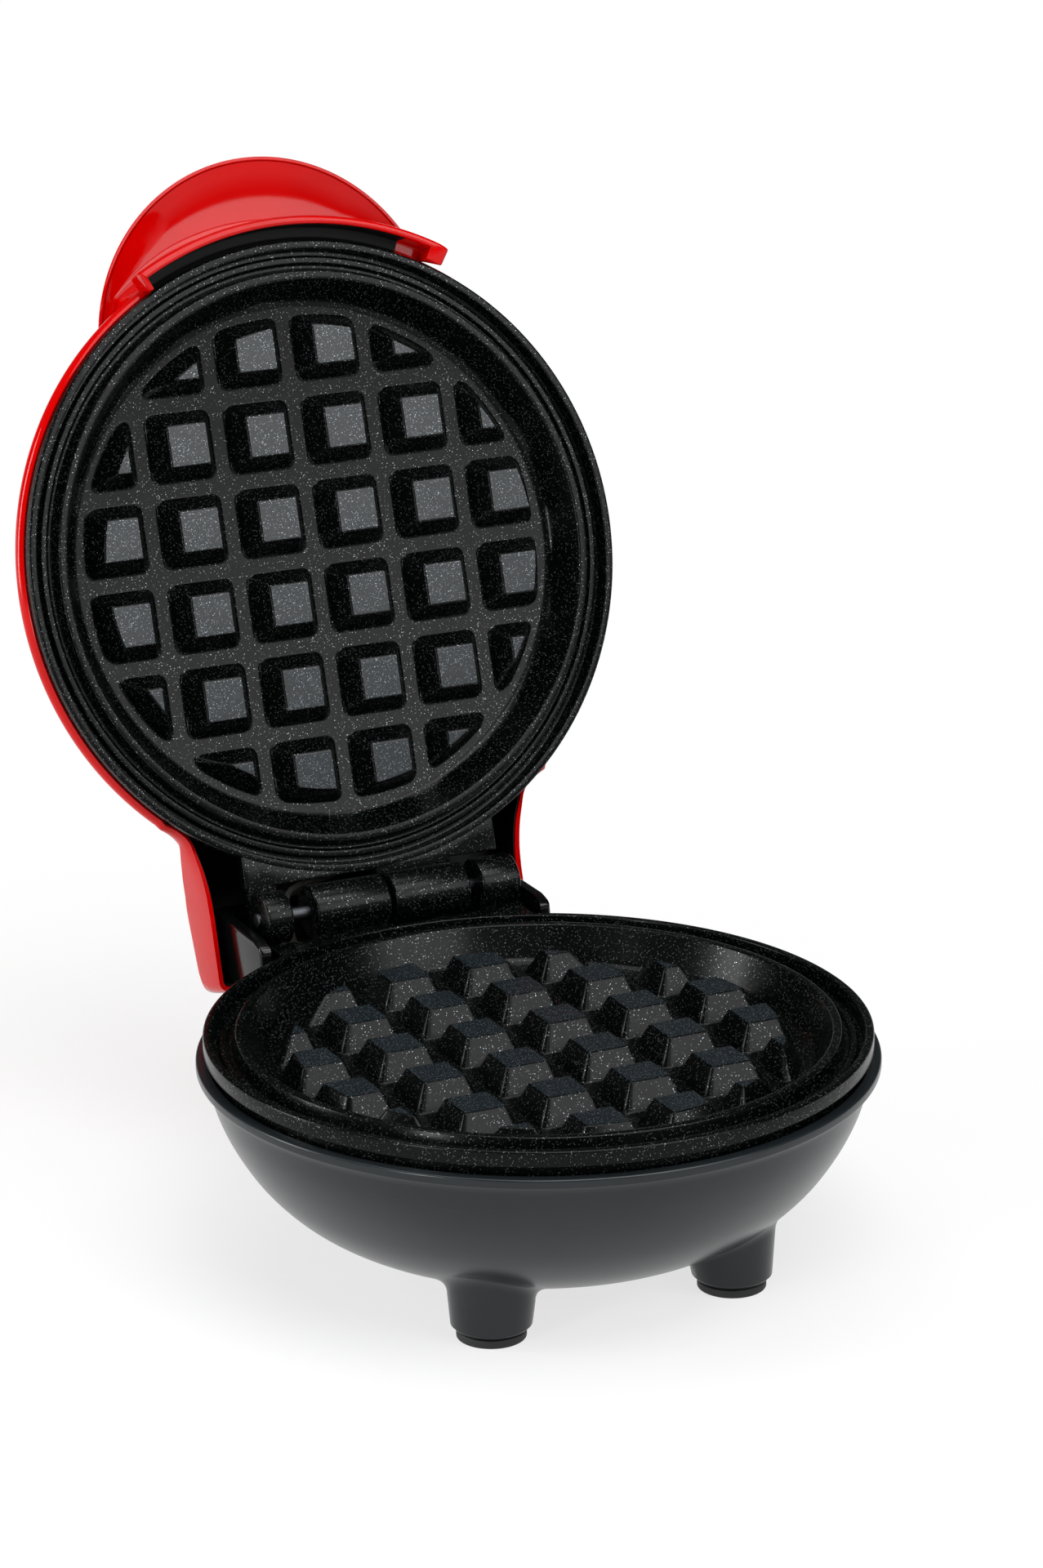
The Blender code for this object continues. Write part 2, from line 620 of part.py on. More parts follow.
def waffle_pegs():
    """All pegs as loose pyramids, clipped by a cone to the round peg field."""
    shape = bmesh.new()
    slope = (PEG_BASE - PEG_TOP) / 2 / PEG_HEIGHT
    halves = ((PEG_BASE / 2 + slope * ROOT, -ROOT), (PEG_TOP / 2, PEG_HEIGHT))
    middle = (PEG_ROWS - 1) / 2
    for row in range(PEG_ROWS):
        for column in range(PEG_ROWS):
            if abs(row - middle) == middle and abs(column - middle) == middle:
                continue
            x = (column - middle) * PITCH
            y = (row - middle) * PITCH
            low, high = ([shape.verts.new((x + a * half, y + b * half, height))
                          for a, b in ((-1, -1), (1, -1), (1, 1), (-1, 1))]
                         for half, height in halves)
            shape.faces.new(low[::-1])
            shape.faces.new(high)
            for side in range(4):
                after = (side + 1) % 4
                shape.faces.new((low[side], low[after], high[after], high[side]))
    pegs = object_from(shape, "pegs")
    foot = ROOT + OVERRUN
    head = PEG_HEIGHT + OVERRUN
    cone = [(0.0, -foot), (PEG_FIELD_R + slope * foot, -foot), (PEG_FIELD_R - slope * head, head),
            (0.0, head)]
    return combine(pegs, turned("field", cone, TURN_STEPS), "INTERSECT")


def hinge_tongue(knuckles):
    """The flat tab behind the rim with its webs and the knuckles that they carry."""
    spread = math.asin(TAB_HALF / TAB_ARC_R)
    outline = [(TAB_ARC_R * math.sin(spread * step / TINY_STEPS),
                TAB_ARC_R * math.cos(spread * step / TINY_STEPS))
               for step in range(TINY_STEPS, -TINY_STEPS - 1, -1)]
    outline.append((-TAB_HALF, TAB_END))
    for left, right in sorted(knuckles):
        outline += [(left, TAB_END), (left, WEB_END), (right, WEB_END), (right, TAB_END)]
    outline.append((TAB_HALF, TAB_END))
    tongue = prism("tongue", list(dict.fromkeys(outline)), TAB_FOOT, TAB_TOP, "Z")
    for left, right in knuckles:
        join(tongue, rod_along_x("knuckle", KNUCKLE_R, left, right, (HINGE_BACK, HINGE_UP)))
    return tongue


def plate_post(centre, tip):
    """A stepped post: its shoulder holds the reflector, its tip meets the shell."""
    outline = [(0.0, PLATE_BACK + ROOT), (POST_R, PLATE_BACK + ROOT), (POST_R, POST_SHOULDER),
               (POST_TIP_R, POST_SHOULDER), (POST_TIP_R, tip), (0.0, tip)]
    return turned("post", outline, SMALL_STEPS, centre)


def plate_casting(name, knuckles, post_tip, bored):
    """A cooking plate: dish, rims, pegs, hinge tab, knuckles and rear posts."""
    outline = [(0.0, 0.0), (FLOOR_R, 0.0), (RIDGE_IN_R, RIDGE_TOP), (RIDGE_OUT_R, RIDGE_TOP),
               (VALLEY_IN_R, VALLEY_FLOOR), (VALLEY_OUT_R, VALLEY_FLOOR), (BEAD_IN_R, BEAD_TOP),
               (BEAD_OUT_R, BEAD_TOP), (GROOVE_IN_R, GROOVE_FLOOR), (GROOVE_OUT_R, GROOVE_FLOOR),
               (RIM_IN_R, RIM_TOP), (RIM_R, RIM_TOP), (RIM_R, SKIRT_FOOT), (NECK_R, SKIRT_FOOT - GAP),
               (NECK_R, NECK_FOOT), (SHOULDER_R, SHOULDER_Z), (BACK_R, PLATE_BACK), (0.0, PLATE_BACK)]
    stud = (STUD_X, THERMOSTAT_Y)
    plate = join(turned(name, outline, TURN_STEPS), hinge_tongue(knuckles))
    join(plate, rod("boss", BOSS_R, POST_SHOULDER, PLATE_BACK + ROOT, steps=TINY_STEPS),
         rod("stud", STUD_R, STUD_FOOT, PLATE_BACK + ROOT, stud, TINY_STEPS),
         *[plate_post(centre, post_tip) for centre in four_posts()])
    bores = [rod("bore", BOSS_BORE_R, POST_SHOULDER - OVERRUN, BOSS_BORE_TOP, steps=TINY_STEPS),
             rod("bore", STUD_BORE_R, STUD_FOOT - OVERRUN, STUD_BORE_TOP, stud, TINY_STEPS),
             rod_along_x("bore", PIN_R + RUNNING_GAP, PIN_LEFT - OVERRUN, PIN_RIGHT + OVERRUN,
                         (HINGE_BACK, HINGE_UP), TINY_STEPS)]
    if bored:
        bores += [rod("bore", POST_BORE_R, post_tip - OVERRUN, POST_BORE_TOP, centre, TINY_STEPS)
                  for centre in four_posts()]
    return join(cut(plate, *bores), waffle_pegs())


def heater_height():
    """Height of the heating tube's centre line, just under the plate."""
    return PLATE_BACK - GAP - HEATER_R


def heater_tube(name):
    """The heating tube: a loop that is open at the rear, with its ends led out."""
    z = heater_height()
    start = math.radians(90 + HEATER_GAP_ANGLE)
    sweep = 2 * (math.pi - math.radians(HEATER_GAP_ANGLE))
    loop = [(HEATER_LOOP_R * math.cos(start + sweep * step / HEATER_POINTS),
             HEATER_LOOP_R * math.sin(start + sweep * step / HEATER_POINTS), z)
            for step in range(HEATER_POINTS + 1)]
    left = [(-HEATER_END_X, HEATER_END_Y, z), (-HEATER_END_X, HEATER_BEND_Y, z),
            (-HEATER_TURN_X, HEATER_TURN_Y, z)]
    right = [(-x, y, height) for x, y, height in reversed(left)]
    first = smooth_route(left + loop[1:3])
    last = smooth_route(loop[-3:-1] + right)
    middle = [Vector(point) for point in loop[3:-3]]
    return tube(name, first + middle + last, HEATER_R, 2)


def heater_terminal(name, side):
    """The pin that leaves one end of the heating tube."""
    start = HEATER_END_Y + GAP
    pin = rod(name, TERMINAL_R, start, start + TERMINAL_LENGTH, (side * HEATER_END_X, 0.0), TINY_STEPS)
    return laid_back(pin, heater_height())


def reflector_top():
    """Height of the reflector's upper face, just under the heating tube."""
    return heater_height() - HEATER_R - GAP


def reflector(name):
    """The round sheet under the heater, with holes for the posts and the thermostat."""
    top = reflector_top()
    sheet = rod(name, REFLECTOR_R, top - REFLECTOR_SHEET, top, steps=TURN_STEPS)
    low = top - OVERRUN
    high = top + OVERRUN
    holes = [rod("hole", POST_TIP_R + GAP, low, high, centre, TINY_STEPS) for centre in four_posts()]
    return cut(sheet, rod("hole", REFLECTOR_SCREW_R + GAP, low, high, steps=TINY_STEPS),
               rod("window", WINDOW_R, low, high, (0.0, THERMOSTAT_Y)), *holes)


def screw(name, shank_r, head_r, head, seat, tip, centre=(0.0, 0.0)):
    """A pan-head screw that points up, its head under the seat."""
    foot = seat - GAP - head
    outline = [(0.0, foot), (head_r * 3 / 4, foot), (head_r, foot + head / 2), (head_r, seat - GAP),
               (shank_r, seat - GAP), (shank_r, tip), (0.0, tip)]
    return turned(name, outline, TINY_STEPS, centre)


def reflector_screw(name):
    seat = reflector_top() - REFLECTOR_SHEET
    return screw(name, REFLECTOR_SCREW_R, REFLECTOR_HEAD_R, REFLECTOR_HEAD, seat,
                 seat + REFLECTOR_SCREW_LENGTH)


def thermostat(name):
    """A disc thermostat with its ear and two blades."""
    top = PLATE_BACK - GAP
    foot = top - THERMOSTAT_HEIGHT
    cap_foot = foot - CAP_HEIGHT
    outline = [(0.0, top), (THERMOSTAT_R, top), (THERMOSTAT_R, foot), (CAP_R, foot), (CAP_R, cap_foot),
               (0.0, cap_foot)]
    body = turned(name, outline, SMALL_STEPS, (0.0, THERMOSTAT_Y))
    ear_top = STUD_FOOT - GAP
    blades = [block("blade", (side * BLADE_X - BLADE_SHEET / 2, THERMOSTAT_Y - BLADE_HALF,
                              cap_foot - BLADE_LENGTH),
                    (side * BLADE_X + BLADE_SHEET / 2, THERMOSTAT_Y + BLADE_HALF, cap_foot + ROOT))
              for side in (-1, 1)]
    join(body, block("ear", (0.0, THERMOSTAT_Y - EAR_HALF, ear_top - EAR_SHEET),
                     (EAR_REACH, THERMOSTAT_Y + EAR_HALF, ear_top)), *blades)
    return cut(body, rod("hole", STUD_BORE_R, ear_top - EAR_SHEET - GAP, ear_top + GAP,
                         (STUD_X, THERMOSTAT_Y), TINY_STEPS))


def thermostat_screw(name):
    seat = STUD_FOOT - GAP - EAR_SHEET
    return screw(name, EAR_SCREW_R, EAR_HEAD_R, EAR_HEAD, seat, seat + EAR_SCREW_LENGTH,
                 (STUD_X, THERMOSTAT_Y))


def stretched(y):
    """A route point's place from front to back, moved with the heater's ends and the hinge."""
    moved = y
    for (low, low_place), (high, high_place) in zip(ROUTE_STRETCHES, ROUTE_STRETCHES[1:]):
        if y > low:
            moved = low_place + (y - low) * (high_place - low_place) / (high - low)
    return moved


def lead(name, route, radius):
    """An insulated wire through the points of its route."""
    points = [Vector((x * MM, stretched(y * MM), z * MM)) for x, y, z in route]
    return tube(name, smooth_route(points), radius)


def ledge_height(radius):
    """Height of the ledge that carries the plate, parallel to the plate's underside."""
    slope = (NECK_FOOT - SHOULDER_Z) / (NECK_R - SHOULDER_R)
    return NECK_FOOT - (NECK_R - radius) * slope - LEDGE_GAP


def bowl_solid():
    """The filled bowl with its lip."""
    outline = [(0.0, LIP_TOP), (LIP_R - LIP_ROUND, LIP_TOP), (LIP_R, LIP_TOP - LIP_ROUND),
               (LIP_R, LIP_FOOT), (BOWL_R + LIP_ROUND, 0.0)]
    outline += [(BOWL_R * across, BOWL_TOP - BOWL_DEPTH * down) for across, down in BOWL_SHARES]
    return turned("bowl", outline + [(0.0, BOWL_TOP - BOWL_DEPTH)], TURN_STEPS)


def bowl_hollow():
    """The room inside the bowl, with the bosses left standing in it."""
    mouth = NECK_R + GAP
    radius = BOWL_R - BASE_WALL
    depth = BOWL_DEPTH - BASE_WALL
    outline = [(0.0, LIP_TOP + OVERRUN), (mouth, LIP_TOP + OVERRUN), (mouth, ledge_height(mouth)),
               (radius, ledge_height(radius))]
    outline += [(radius * across, BOWL_TOP - depth * down) for across, down in BOWL_SHARES]
    hollow = turned("hollow", outline + [(0.0, BOWL_TOP - depth)], TURN_STEPS)
    return cut(hollow, *[rod("boss", BASE_BOSS_R, LEG_FOOT, LOWER_POST_TIP - GAP, centre)
                         for centre in four_posts()])


def opened(y, z):
    """Where a (y, z) point of the parallel lid lies when the lid is open."""
    turn = math.radians(OPEN_ANGLE)
    back = y - HINGE_BACK
    up = z - HINGE_UP
    return (HINGE_BACK + back * math.cos(turn) + up * math.sin(turn),
            HINGE_UP - back * math.sin(turn) + up * math.cos(turn))


def housing_back(inset, start_height):
    """Side view of the housing's back: the arc round the hinge, the stop face and the floor."""
    radius = HOUSING_R - inset
    face = TAIL_EDGE - GAP - inset
    meet = opened(HINGE_BACK + math.sqrt(radius ** 2 - (face - HINGE_UP) ** 2), face)
    first = math.asin((start_height - HINGE_UP) / radius)
    last = math.atan2(meet[1] - HINGE_UP, meet[0] - HINGE_BACK)
    outline = [(HINGE_BACK + radius * math.cos(first + (last - first) * step / TINY_STEPS),
                HINGE_UP + radius * math.sin(first + (last - first) * step / TINY_STEPS))
               for step in range(TINY_STEPS + 1)]
    outline.append(opened(TAIL_END + STOP_OVERHANG - inset / 2, face))
    outline.append((HOUSING_FRONT_Y, HOUSING_FRONT_Z + inset))
    return outline


def housing_solid():
    """The filled housing, from cheek to cheek."""
    outline = housing_back(0.0, CHEEK_TOP)
    outline += [(HOUSING_FRONT_Y, BOWL_TOP), (CHEEK_ROOT_Y, CHEEK_SHELF),
                (CHEEK_FRONT, CHEEK_SHELF)]
    outline += [(CHEEK_FRONT + CHEEK_NOSE * back, CHEEK_TOP - CHEEK_NOSE * down)
                for back, down in reversed(NOSE_SHARES)]
    return prism("housing", outline, -HOUSING_HALF, HOUSING_HALF, "X")


def housing_hollow():
    """The room inside the housing, open at the top."""
    outline = housing_back(BASE_WALL, HINGE_UP)
    back = HINGE_BACK + HOUSING_R - BASE_WALL
    outline += [(HOUSING_FRONT_Y, CHEEK_TOP + OVERRUN), (back, CHEEK_TOP + OVERRUN)]
    half = HOUSING_HALF - BASE_WALL
    return prism("housing_hollow", outline, -half, half, "X")


def lead_window():
    """The window in the bowl's rear wall that the leads pass through."""
    return block("window", (-LEAD_WINDOW_HALF, CORD_BLOCK_FRONT, LEAD_WINDOW_FOOT),
                 (LEAD_WINDOW_HALF, LEAD_WINDOW_BACK, LEAD_WINDOW_TOP))


def leg(centre, top):
    """A round leg with a bevelled foot."""
    outline = [(0.0, LEG_FOOT), (LEG_FOOT_R - LEG_EDGE, LEG_FOOT), (LEG_FOOT_R, LEG_FOOT + LEG_EDGE),
               (LEG_R, top), (0.0, top)]
    return turned("leg", outline, SMALL_STEPS, centre)


def screw_cutter(centre):
    """The stepped hole that a base screw goes up through, with its pad's recess on a leg."""
    foot = LEG_FOOT - OVERRUN
    outline = [(0.0, foot), (SCREW_POCKET_R, foot)]
    if centre in four_legs():
        outline = recess_outline() + [(SCREW_POCKET_R, LEG_FOOT + PAD_RECESS)]
    outline += [(SCREW_POCKET_R, SCREW_SEAT), (SCREW_HOLE_R, SCREW_SEAT), (SCREW_HOLE_R, LOWER_POST_TIP),
                (0.0, LOWER_POST_TIP)]
    return turned("pocket", outline, SMALL_STEPS, centre)


def recess_outline():
    """The outline of a pad stem's recess, up to its roof."""
    return [(0.0, LEG_FOOT - OVERRUN), (PAD_STEM_R + GAP, LEG_FOOT - OVERRUN),
            (PAD_STEM_R + GAP, LEG_FOOT + PAD_RECESS)]


def base_shell(name):
    """The lower case: bowl, lip, legs, hinge housing and cord block in one moulding."""
    front_legs, back_legs = four_legs()[:2], four_legs()[2:]
    shell = join(housing_solid(), block("cord_block", (-CORD_BLOCK_HALF, CORD_BLOCK_FRONT, CORD_BLOCK_FOOT),
                                        (CORD_BLOCK_HALF, CORD_BLOCK_BACK, CORD_BLOCK_TOP)),
                 *[leg(centre, BACK_LEG_TOP) for centre in back_legs])
    shell.name = name
    cut(shell, housing_hollow())
    join(shell, bowl_solid())
    join(shell, *[leg(centre, LEG_TOP) for centre in front_legs])
    cut(shell, bowl_hollow())
    bore = rod("bore", GLAND_R + GAP, CORD_BLOCK_FRONT, CORD_BLOCK_BACK + OVERRUN)
    recesses = [turned("recess", recess_outline() + [(0.0, LEG_FOOT + PAD_RECESS)], SMALL_STEPS, centre)
                for centre in back_legs]
    return cut(shell, lead_window(), laid_back(bore, GLAND_Z), *recesses,
               *[screw_cutter(centre) for centre in four_posts()])


def foot_pad(name, centre):
    """A soft pad, its stem in the leg's recess."""
    foot = -FLOOR_HEIGHT
    seat = LEG_FOOT - GAP
    head = LEG_FOOT + PAD_RECESS - GAP
    outline = [(0.0, foot), (PAD_R - PAD_EDGE, foot), (PAD_R, foot + PAD_EDGE), (PAD_R, seat),
               (PAD_STEM_R, seat), (PAD_STEM_R, head), (0.0, head)]
    return turned(name, outline, SMALL_STEPS, centre)


def cord_gland(name):
    """The sleeve in the cord block that a mains cord enters by."""
    face = CORD_BLOCK_BACK + GAP
    outline = [(GLAND_BORE_R, GLAND_FRONT), (GLAND_R, GLAND_FRONT), (GLAND_R, face),
               (GLAND_FLANGE_R, face), (GLAND_FLANGE_R, face + GLAND_FLANGE),
               (GLAND_BORE_R, face + GLAND_FLANGE)]
    return laid_back(ring(name, outline, SMALL_STEPS), GLAND_Z)


def dome_outline(inset):
    """The dome's side from its foot to near its top."""
    return [((LID_R - inset) * across, DOME_FOOT + (DOME_HEIGHT - inset) * up)
            for across, up in DOME_SHARES]


def dome_solid():
    """The filled dome down to the lid's edge."""
    outline = [(0.0, LID_EDGE), (LID_R - LID_EDGE_IN, LID_EDGE)] + dome_outline(0.0)
    return turned("dome", outline + [(0.0, DOME_FOOT + DOME_HEIGHT)], TURN_STEPS)


def dome_hollow():
    """The room under the dome, with the plate's bosses left standing in it."""
    top = DOME_FOOT + DOME_HEIGHT - LID_WALL
    outline = [(0.0, LID_EDGE - OVERRUN), (LID_MOUTH_R, LID_EDGE - OVERRUN), (LID_MOUTH_R, DOME_FOOT)]
    outline += dome_outline(LID_WALL)[1:]
    hollow = turned("dome_hollow", outline + [(0.0, top)], TURN_STEPS)
    low = 2 * HINGE_UP - reflector_top() + REFLECTOR_SHEET + GAP
    roof = 2 * HINGE_UP - UPPER_POST_TIP + SOCKET_ROOF
    bore = POST_TIP_R + GAP
    boss = [(bore, low), (LID_BOSS_R, low), (LID_BOSS_R, top + OVERRUN), (0.0, top + OVERRUN),
            (0.0, roof), (bore, roof), (bore, low)]
    return cut(hollow, *[turned("boss", boss, SMALL_STEPS, centre) for centre in four_posts()])


def tail_side(inset, edge):
    """Side view of the tail: back wall, round corner and sloping top."""
    end = TAIL_END - inset
    radius = TAIL_CORNER_R - inset
    centre = (TAIL_END - TAIL_CORNER_R, TAIL_TOP_BACK - TAIL_CORNER_R)
    outline = [(TAIL_FRONT_Y, edge), (end, edge)]
    outline += [(centre[0] + radius * math.cos(math.pi / 2 * step / CORNER_STEPS),
                 centre[1] + radius * math.sin(math.pi / 2 * step / CORNER_STEPS))
                for step in range(CORNER_STEPS + 1)]
    return outline + [(TAIL_KINK_Y, TAIL_TOP_FRONT - inset), (TAIL_FRONT_Y, TAIL_TOP_FRONT - inset)]


def tail_plan(inset):
    """Plan of the tail with its rounded rear corners."""
    radius = TAIL_SIDE_ROUND - inset if inset < TAIL_SIDE_ROUND else 0.0
    corner = (TAIL_HALF - inset - radius, TAIL_END - inset - radius)
    right = [(corner[0] + radius * math.cos(math.pi / 2 * step / CORNER_STEPS),
              corner[1] + radius * math.sin(math.pi / 2 * step / CORNER_STEPS))
             for step in range(CORNER_STEPS + 1)]
    right.insert(0, (TAIL_HALF - inset, TAIL_FRONT_Y))
    return right + [(-x, y) for x, y in reversed(right)]


def tail_solid(name, inset, edge, half):
    """The tail's box, or with an inset the room inside it."""
    box = prism(name, tail_side(inset, edge), -half, half, "X")
    plan = prism("plan", tail_plan(inset), edge - OVERRUN, TAIL_TOP_FRONT + OVERRUN, "Z")
    return combine(box, plan, "INTERSECT")


def tail_flare(side):
    """The hollow-curved fairing between the tail's side and the dome."""
    reach = FLARE_RUN + FLARE_START_Y - TAIL_KINK_Y
    low = []
    high = []
    for out, back in FLARE_SHARES:
        low.append((side * (TAIL_HALF + FLARE_OUT * out), FLARE_START_Y - FLARE_RUN * back, TAIL_EDGE))
        high.append((side * (TAIL_HALF + FLARE_OUT * out * FLARE_SHRINK_SHARE),
                     TAIL_KINK_Y - FLARE_RUN * back, TAIL_TOP_FRONT - ROOT))
    inner = TAIL_HALF - LID_WALL / 2
    low += [(side * inner, FLARE_START_Y - reach, TAIL_EDGE), (side * inner, FLARE_START_Y, TAIL_EDGE)]
    high += [(side * inner, TAIL_KINK_Y - reach, TAIL_TOP_FRONT - ROOT),
             (side * inner, TAIL_KINK_Y, TAIL_TOP_FRONT - ROOT)]
    return loft("flare", low, high)


def visor_height(share):
    """A height in the hood as a share of its rise above the lip."""
    return VISOR_LIP + VISOR_RISE * share


def visor_solid():
    """The handle's hood, a shallow cap whose front half stands out of the dome."""
    outline = [(0.0, visor_height(1.0))]
    outline += [(VISOR_R * across, visor_height(up)) for across, up in reversed(VISOR_TOP_SHARES)]
    outline += [(VISOR_R * across, visor_height(up)) for across, up in VISOR_UNDER_SHARES]
    outline.append((0.0, visor_height(VISOR_UNDER_SHARES[-1][1])))
    return turned("visor", outline, TURN_STEPS, (0.0, VISOR_Y))


def visor_hollow():
    """The room inside the hood, which opens into the dome."""
    top = [(VISOR_R * across - LID_WALL, visor_height(up) - LID_WALL)
           for across, up in VISOR_TOP_SHARES if across < VISOR_HOLLOW_SHARE]
    under = [(VISOR_R * across - LID_WALL, visor_height(up) + LID_WALL)
             for across, up in VISOR_UNDER_SHARES if across < VISOR_HOLLOW_SHARE]
    outline = [(0.0, visor_height(1.0) - LID_WALL)] + top[::-1] + under
    return turned("visor_hollow", outline + [(0.0, under[-1][1])], TURN_STEPS, (0.0, VISOR_Y))


def grip_band():
    """The band across the front of the lid, below the finger scoop."""
    inner = BAND_R - BAND_WALL
    section = [(inner, BAND_EDGE), (BAND_R - LIP_ROUND, BAND_EDGE), (BAND_R, BAND_RIDGE),
               (BAND_TOP_R, BAND_TOP), (BAND_ROOT_R, BAND_TOP), (BAND_ROOT_R, BAND_TOP - BAND_WALL),
               (inner, BAND_TOP - BAND_WALL)]
    return arc_band("band", section, BAND_ANGLE, BAND_STEPS)


def lid_shell(name):
    """The red upper case: dome, tail, hood and grip band in one moulding."""
    shell = dome_solid()
    shell.name = name
    join(shell, tail_solid("tail", 0.0, TAIL_EDGE, TAIL_HALF), visor_solid(), grip_band())
    join(shell, tail_flare(-1), tail_flare(1))
    cut(shell, join(dome_hollow(), visor_hollow()))
    cut(shell, tail_solid("tail_hollow", LID_WALL, LID_EDGE - OVERRUN, TAIL_HALF - LID_WALL))
    return cut(shell, rod("lens_hole", LENS_R + GAP, LENS_SEAT - LENS_FLANGE, LENS_TOP + OVERRUN,
                          (0.0, LENS_Y)))


def indicator_lens(name):
    """The lens in the dome, held by a flange under it."""
    foot = LENS_SEAT - LENS_FLANGE
    outline = [(0.0, foot), (LENS_FLANGE_R, foot), (LENS_FLANGE_R, LENS_SEAT), (LENS_R, LENS_SEAT),
               (LENS_R, LENS_TOP - LENS_CROWN), (LENS_R * 3 / 4, LENS_TOP), (0.0, LENS_TOP)]
    return turned(name, outline, SMALL_STEPS, (0.0, LENS_Y))


def indicator_lamp(name):
    """The lamp block under the lens."""
    top = LENS_SEAT - LENS_FLANGE - GAP
    return block(name, (-LAMP_HALF_X, LENS_Y - LAMP_HALF_Y, top - LAMP_HEIGHT),
                 (LAMP_HALF_X, LENS_Y + LAMP_HALF_Y, top))


def build_base(base):
    """Everything that stands on the table."""
    charcoal = material("charcoal_plastic", CHARCOAL, 0.4)
    coating = material("nonstick_coating", COATING, 0.35)
    rubber = material("rubber", RUBBER, 0.8)
    steel = material("steel", STEEL, 0.3, 1.0)
    aluminium = material("aluminium", ALUMINIUM, 0.35, 1.0)
    ceramic = material("ceramic", CERAMIC, 0.6)
    brown = material("brown_insulation", BROWN, 0.5)
    blue = material("blue_insulation", BLUE, 0.5)
    white = material("white_insulation", WHITE, 0.6)
    finish(base_shell("shell"), "base_shell", charcoal, base)
    for number, centre in enumerate(four_legs(), 1):
        finish(foot_pad("pad", centre), f"foot_pad_{number}", rubber, base)
    for number, centre in enumerate(four_posts(), 1):
        fastener = screw("screw", SCREW_R, SCREW_HEAD_R, SCREW_HEAD, SCREW_SEAT, SCREW_TIP, centre)
        finish(fastener, f"base_screw_{number}", steel, base)
    plate = plate_casting("plate", LOWER_KNUCKLES, LOWER_POST_TIP, True)
    finish(plate, "lower_plate", coating, base)
    pin = rod_along_x("pin", PIN_R, PIN_LEFT, PIN_RIGHT, (HINGE_BACK, HINGE_UP))
    finish(pin, "hinge_pin", steel, base)
    finish(heater_tube("heater"), "lower_heater", steel, base)
    finish(heater_terminal("terminal", -1), "lower_terminal_neutral", steel, base)
    finish(heater_terminal("terminal", 1), "lower_terminal_live", steel, base)
    finish(reflector("reflector"), "lower_reflector", aluminium, base)
    finish(reflector_screw("screw"), "lower_reflector_screw", steel, base)
    finish(thermostat("thermostat"), "thermostat", ceramic, base)
    finish(thermostat_screw("screw"), "thermostat_screw", steel, base)
    fuse = laid_back(rod("fuse", FUSE_R, FUSE_FRONT, FUSE_BACK, (FUSE_X, 0.0), TINY_STEPS), FUSE_Z)
    finish(fuse, "thermal_fuse", steel, base)
    finish(cord_gland("gland"), "cord_gland", rubber, base)
    finish(lead("lead", LIVE_ROUTE, LEAD_R), "live_lead", brown, base)
    finish(lead("lead", NEUTRAL_ROUTE, LEAD_R), "neutral_lead", blue, base)
    finish(lead("lead", FUSE_LEAD_ROUTE, LEAD_R), "fuse_lead", white, base)
    finish(lead("lead", HEATER_LEAD_ROUTE, LEAD_R), "heater_lead", white, base)
    finish(lead("lead", LINK_LIVE_ROUTE, LINK_R), "link_live_base", white, base)
    finish(lead("lead", LINK_NEUTRAL_ROUTE, LINK_R), "link_neutral_base", white, base)


def build_lid(hinge):
    """Everything that swings with the lid."""
    red = material("red_plastic", RED, 0.12)
    coating = material("nonstick_coating", COATING, 0.35)
    steel = material("steel", STEEL, 0.3, 1.0)
    aluminium = material("aluminium", ALUMINIUM, 0.35, 1.0)
    amber = material("amber_lens", AMBER, 0.1)
    ceramic = material("ceramic", CERAMIC, 0.6)
    white = material("white_insulation", WHITE, 0.6)
    plate = plate_casting("plate", UPPER_KNUCKLES, UPPER_POST_TIP, False)
    pieces = [
        finish(lid_shell("lid"), "lid_shell", red, hinge),
        finish(turned_over(plate), "upper_plate", coating, hinge),
        finish(turned_over(heater_tube("heater")), "upper_heater", steel, hinge),
        finish(turned_over(heater_terminal("terminal", 1)), "upper_terminal_neutral", steel, hinge),
        finish(turned_over(heater_terminal("terminal", -1)), "upper_terminal_live", steel, hinge),
        finish(turned_over(reflector("reflector")), "upper_reflector", aluminium, hinge),
        finish(turned_over(reflector_screw("screw")), "upper_reflector_screw", steel, hinge),
        finish(indicator_lens("lens"), "indicator_lens", amber, hinge),
        finish(indicator_lamp("lamp"), "indicator_lamp", ceramic, hinge),
        finish(lead("lead", LID_LIVE_ROUTE, LINK_R), "link_live_lid", white, hinge),
        finish(lead("lead", LID_NEUTRAL_ROUTE, LINK_R), "link_neutral_lid", white, hinge),
        finish(lead("lead", LAMP_LIVE_ROUTE, LAMP_LEAD_R), "lamp_live_lead", white, hinge),
        finish(lead("lead", LAMP_NEUTRAL_ROUTE, LAMP_LEAD_R), "lamp_neutral_lead", white, hinge),
    ]
    for piece in pieces:
        piece.location = (0.0, -HINGE_BACK, -HINGE_UP)


def main():
    clear_scene()
    base = frame("waffle_maker", (0.0, CENTRE_Y, FLOOR_HEIGHT))
    hinge = frame("lid_hinge", (0.0, HINGE_BACK, HINGE_UP), base, (-math.radians(OPEN_ANGLE), 0.0, 0.0))
    build_base(base)
    build_lid(hinge)


main()
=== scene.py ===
"""Looks of the mini waffle maker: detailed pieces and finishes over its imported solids.

Sizes are in millimetres, in two frames. The base frame has its origin at the middle of the lower
cooking floor, with x to the right, y towards the hinge and z up. The lid frame is the same one, with
the lid swung down until its plate is parallel to the lower plate. Placing turns both into metres
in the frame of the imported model, where the lid stands open.
"""
from __future__ import annotations

import logging
import math
from collections.abc import Sequence
from dataclasses import dataclass, field
from enum import Enum

import bmesh
import bpy
import numpy as np
from mathutils import Matrix, Vector

